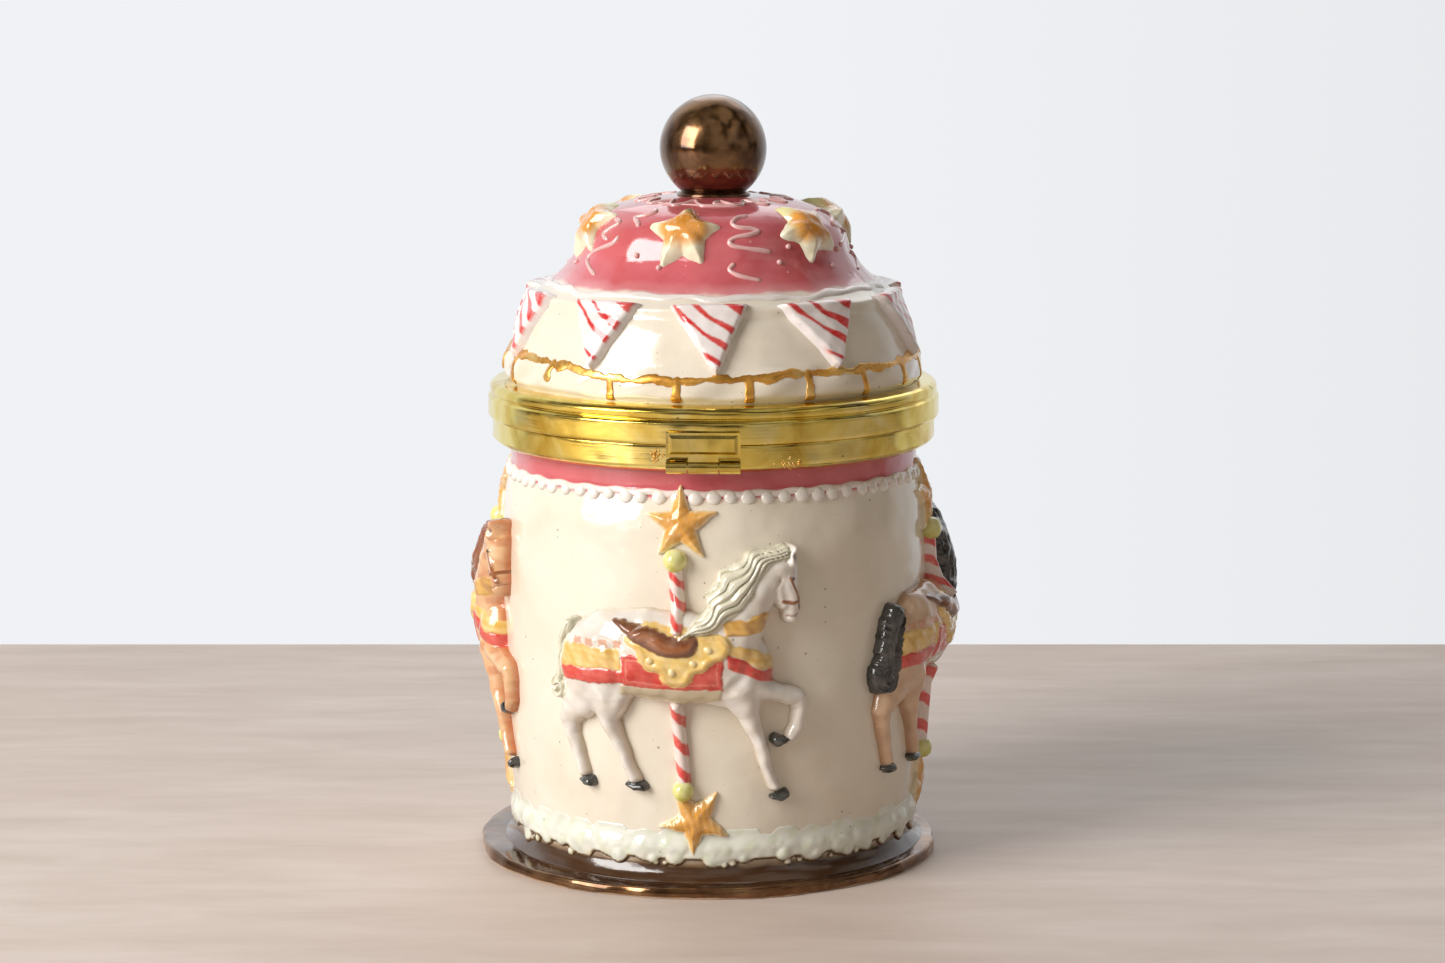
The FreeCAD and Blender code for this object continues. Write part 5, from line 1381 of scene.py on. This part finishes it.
def make_slip():
    """Trailed slip on the dome: a wave round the knob, squiggles and dots between the stars."""
    pale = colour(230, 178, 176)
    lines = []
    wave = []
    for k in range(90):
        azimuth = 360 * k / 90
        swing = math.sin(math.radians(azimuth) * 15)
        wave.append((azimuth, 176.35 + 0.42 * swing))
    lines.append((wave + [wave[0]], 0.62))
    front = [[(18.5, 173.9), (12.5, 173.6), (9, 172.4), (11.5, 171.4), (17.5, 171), (20.5, 170.3), (16, 169.6),
              (10, 169.1), (7, 168), (8.5, 166.9), (14.5, 166.2), (20, 165.6), (24.5, 165.1)],
             [(8.5, 162.6), (6.3, 161.1), (9, 159.8), (13, 159), (18, 158.3)],
             [(-45, 168.6), (-47, 166.6), (-54, 165), (-60, 163.4), (-61, 161.5), (-56, 159.8), (-50.5, 158.4)],
             [(-56, 172.3), (-50, 171.6), (-53, 170.2), (-55.5, 168.4), (-51, 167.2)],
             [(-40, 175.2), (-34.5, 174.6), (-38, 173.7), (-43, 173.1), (-38.5, 171.9), (-36.5, 171.0)]]
    lines += [(line, 0.66) for line in front]
    for gap, flip in ((77, -1), (137, 1), (197, -1), (257, 1)):
        lines += [([(gap + flip * (a - 15), z) for a, z in line], 0.66) for line in front[:2]]
    parts = []
    for line, radius in lines:
        parts.append(slip_line(line, radius, pale))
    dots = [(-33, 164.0), (33, 166.2), (27.5, 162.4), (64, 164.3), (54, 160.6), (-22, 161.2), (-72, 160.4),
            (93, 163), (85, 167.5), (118, 160.5), (150, 165), (139, 161.5), (205, 163.4), (188, 159.8), (230, 166)]
    for k, (azimuth, level) in enumerate(dots):
        centre = lid.place(np.array([math.radians(azimuth)]), np.array([level]), np.array([0.1]))[0]
        points, faces, _ = ball_points(centre, 0.75, 401 + k, 10, 14, 0.03)
        parts.append((points, faces, np.tile(pale, (len(points), 1))))
    finish_piece(make_mesh("slip_trailing", *gather(parts)), "lid", [painted_glaze])


def make_band_ridge():
    """The raised white cord between the pennants and the dome."""
    arc = 47.0

    def field(u, v):
        angle = u / arc
        middle = 0.5 * around_ripple(angle, 0, 33, (5, 9, 14, 22), 10)
        half = 0.95 + 0.2 * around_ripple(angle, 0, 34, (11, 17, 31), 10)
        distance = np.abs(v - middle) - half
        height = 0.5 * np.sqrt(np.clip(1 - ((v - middle) / half) ** 2, 0, 1)) + 0.02
        paint = np.broadcast_to(colour(238, 230, 224), (*u.shape, 3))
        rosy = step_up(v - middle, 0.1, 0.9)
        return distance, height, mix(paint, colour(228, 190, 186), 0.7 * rosy)

    points, faces, paint = relief((0, TAU * arc), (-2.6, 2.6), 0.32, field,
                                  lambda u, v, h: lid.place(u / arc, v * 0.72 + 154.3, h), closed=True)
    finish_piece(make_mesh("dome_border", points, faces, paint), "lid", [painted_glaze])


def make_rim_flaws():
    """A patch of lifted plating and a smear of solder beside the clasp, on the body rim."""
    draws = np.random.default_rng(53)
    parts = []
    patches = ((19.6, 113.0, (2.6, 0.9), 46, 0.34), (-13.6, 115.2, (1.6, 1.3), 26, 0.3))
    for azimuth, level, spread, count, size in patches:
        for _ in range(count):
            angle = math.radians(azimuth) + draws.normal(0, spread[0]) / 59 * 0.6
            z = level + draws.normal(0, spread[1]) * 0.6
            radius = float(np.interp(z, [111.0, 111.6, 113.0, 118.4], [56.0, 57.6, 59.4, 59.4]))
            centre = (radius * math.sin(angle), -radius * math.cos(angle), z)
            points, faces, _ = ball_points(centre, size * draws.uniform(0.5, 1.3), 501 + len(parts), 6, 8, 0.2)
            parts.append((points, faces, np.tile(colour(244, 214, 140), (len(points), 1))))
    finish_piece(make_mesh("rim_flaws", *gather(parts)), "jar", [gold_lustre])


def make_felt():
    """The felt on the false floor, cut by hand and lying almost flat."""
    low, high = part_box("felt_pad")
    radius = (high.x - low.x) / 2 / MM
    floor, top = low.z / MM, high.z / MM
    profile = dense([(0, floor + 0.02), (radius, floor + 0.02), (radius, top), (0, top)], 1.5)

    def shape(angles, radii, levels):
        out = step_up(radii, radius - 3, radius)
        ragged = around_ripple(angles, 0, 43, (7, 19, 31, 47, 71), 10)
        lift = np.where(levels > floor + 0.5, 0.12 * around_ripple(angles, radii, 44, (3, 5, 8), 40), 0)
        return radii - out * (0.3 + 0.2 * ragged), levels + lift

    points, faces = lathe(profile, 240, shape)
    thing = make_mesh("felt_disc", points, faces)
    finish_piece(thing, "jar", [felt_cloth()], ["felt_pad"])


make_pot()
make_lid()
make_disc()
make_knob()
make_rims()
make_horses()
make_poles()
make_pole_balls()
make_wall_stars()
make_dome_stars()
make_beads()
make_frill()
make_gold()
make_flags()
make_slip()
make_band_ridge()
make_rim_flaws()
make_felt()


# ---- Materials for the frame's own parts that stay ----

steel_material, cast_material, wood_material, nylon_material = steel(), cast(), wood(), nylon()
finishes = {
    "polished_brass": fitting_brass, "movement_brass": movement_brass, "movement_steel": steel_material,
    "cast_bed": cast_material, "floor_wood": wood_material, "nylon": nylon_material,
}
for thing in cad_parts.values():
    if thing.hide_render:
        continue
    for index, old in enumerate(thing.data.materials):
        wanted = old.name.split(".")[0] if old else ""
        if wanted in finishes:
            thing.data.materials[index] = finishes[wanted]


# ---- Stage, light and camera ----


def make_table():
    """A pale table top whose far edge is behind the jar."""
    depth, width, back = 3.2, 6.0, 0.262
    points = np.array([(-width / 2, back - depth, 0), (width / 2, back - depth, 0), (width / 2, back, 0),
                       (-width / 2, back, 0), (-width / 2, back - depth, -0.03), (width / 2, back - depth, -0.03),
                       (width / 2, back, -0.03), (-width / 2, back, -0.03)]) / MM
    faces = np.array([(0, 1, 2, 3), (7, 6, 5, 4), (0, 4, 5, 1), (1, 5, 6, 2), (2, 6, 7, 3), (3, 7, 4, 0)])
    table = make_mesh("table_top", points, faces, smooth=False)
    t = Tree("pale_wood")
    grain = t.noise(26, 6.0, 0.66, stretch=(0.5, 2.2, 1), distortion=0.35)
    cloud = t.noise(2.4, 4.0, 0.6)
    base = t.ramp(grain, (0.3, colour(194, 178, 166)), (0.5, colour(206, 191, 180)), (0.7, colour(216, 203, 194)))
    base = t.mix(t.ramp(cloud, (0.35, 0.0), (0.75, 0.4)), base, colour(206, 186, 176))
    fibre = t.noise(60, 5.0, 0.6, stretch=(0.06, 1.6, 1))
    t.settle(base, t.ramp(cloud, (0.3, 0.42), (0.7, 0.6)), t.bump(fibre, 0.0002, 0.6))
    table.data.materials.append(t.material)


def area_light(name, place, aim, size, power, tint=(1, 1, 1)):
    data = bpy.data.lights.new(name, "AREA")
    data.shape = "RECTANGLE"
    data.size, data.size_y = size
    data.energy = power
    data.color = tint
    lamp = bpy.data.objects.new(name, data)
    lamp.location = place
    lamp.rotation_euler = (Vector(aim) - Vector(place)).to_track_quat("-Z", "Y").to_euler()
    bpy.context.scene.collection.objects.link(lamp)


def make_world():
    """A pale wall behind the jar, and a dimmer, patchy room in front of it for the metal to reflect."""
    world = bpy.data.worlds.new("room")
    bpy.context.scene.world = world
    world.use_nodes = True
    nodes, links = world.node_tree.nodes, world.node_tree.links
    ground = nodes["Background"]
    place = nodes.new("ShaderNodeTexCoord").outputs["Generated"]
    parts = nodes.new("ShaderNodeSeparateXYZ")
    links.new(place, parts.inputs[0])
    patches = nodes.new("ShaderNodeTexNoise")
    links.new(place, patches.inputs["Vector"])
    patches.inputs["Scale"].default_value = 2.6
    patches.inputs["Detail"].default_value = 2.0

    def ramp(value, *stops):
        node = nodes.new("ShaderNodeValToRGB")
        links.new(value, node.inputs[0])
        for element, (at, tint) in zip(node.color_ramp.elements, stops):
            element.position = at
            element.color = (*[float(x) for x in tint], 1)
        return node.outputs[0]

    def blend(share, first, second):
        node = nodes.new("ShaderNodeMix")
        node.data_type = "RGBA"
        links.new(share, node.inputs["Factor"])
        links.new(first, node.inputs[6])
        links.new(second, node.inputs[7])
        return node.outputs[2]

    room = ramp(patches.outputs[0], (0.42, colour(34, 28, 22)), (0.6, colour(176, 168, 158)))
    wall = ramp(parts.outputs["X"], (0.0, colour(240, 242, 245)), (1.0, colour(196, 196, 198)))
    behind = ramp(parts.outputs["Y"], (0.25, (0, 0, 0)), (0.6, (1, 1, 1)))
    links.new(blend(behind, room, wall), ground.inputs["Color"])
    ground.inputs["Strength"].default_value = 1.0


make_table()
make_world()
area_light("window", (-1.15, -0.75, 0.75), (0, 0, 0.1), (0.8, 1.1), 29, (1.0, 0.985, 0.96))
area_light("wall_bounce", (0.3, 1.6, 1.3), (0, 0, 0.1), (1.6, 1.0), 4, (0.96, 0.98, 1.0))
area_light("room_fill", (1.3, -1.2, 0.9), (0, 0, 0.1), (1.0, 1.0), 0.6, (1.0, 0.97, 0.93))

camera_data = bpy.data.cameras.new("camera")
camera_data.lens = 91.93
camera_data.sensor_width = 36
camera_data.clip_start = 0.01
camera = bpy.data.objects.new("camera", camera_data)
camera.location = (0.0024, -0.985, 0.260)
camera.rotation_euler = (math.radians(80.75), 0, 0)
bpy.context.scene.collection.objects.link(camera)
bpy.context.scene.camera = camera
bpy.context.scene.view_settings.view_transform = "Standard"
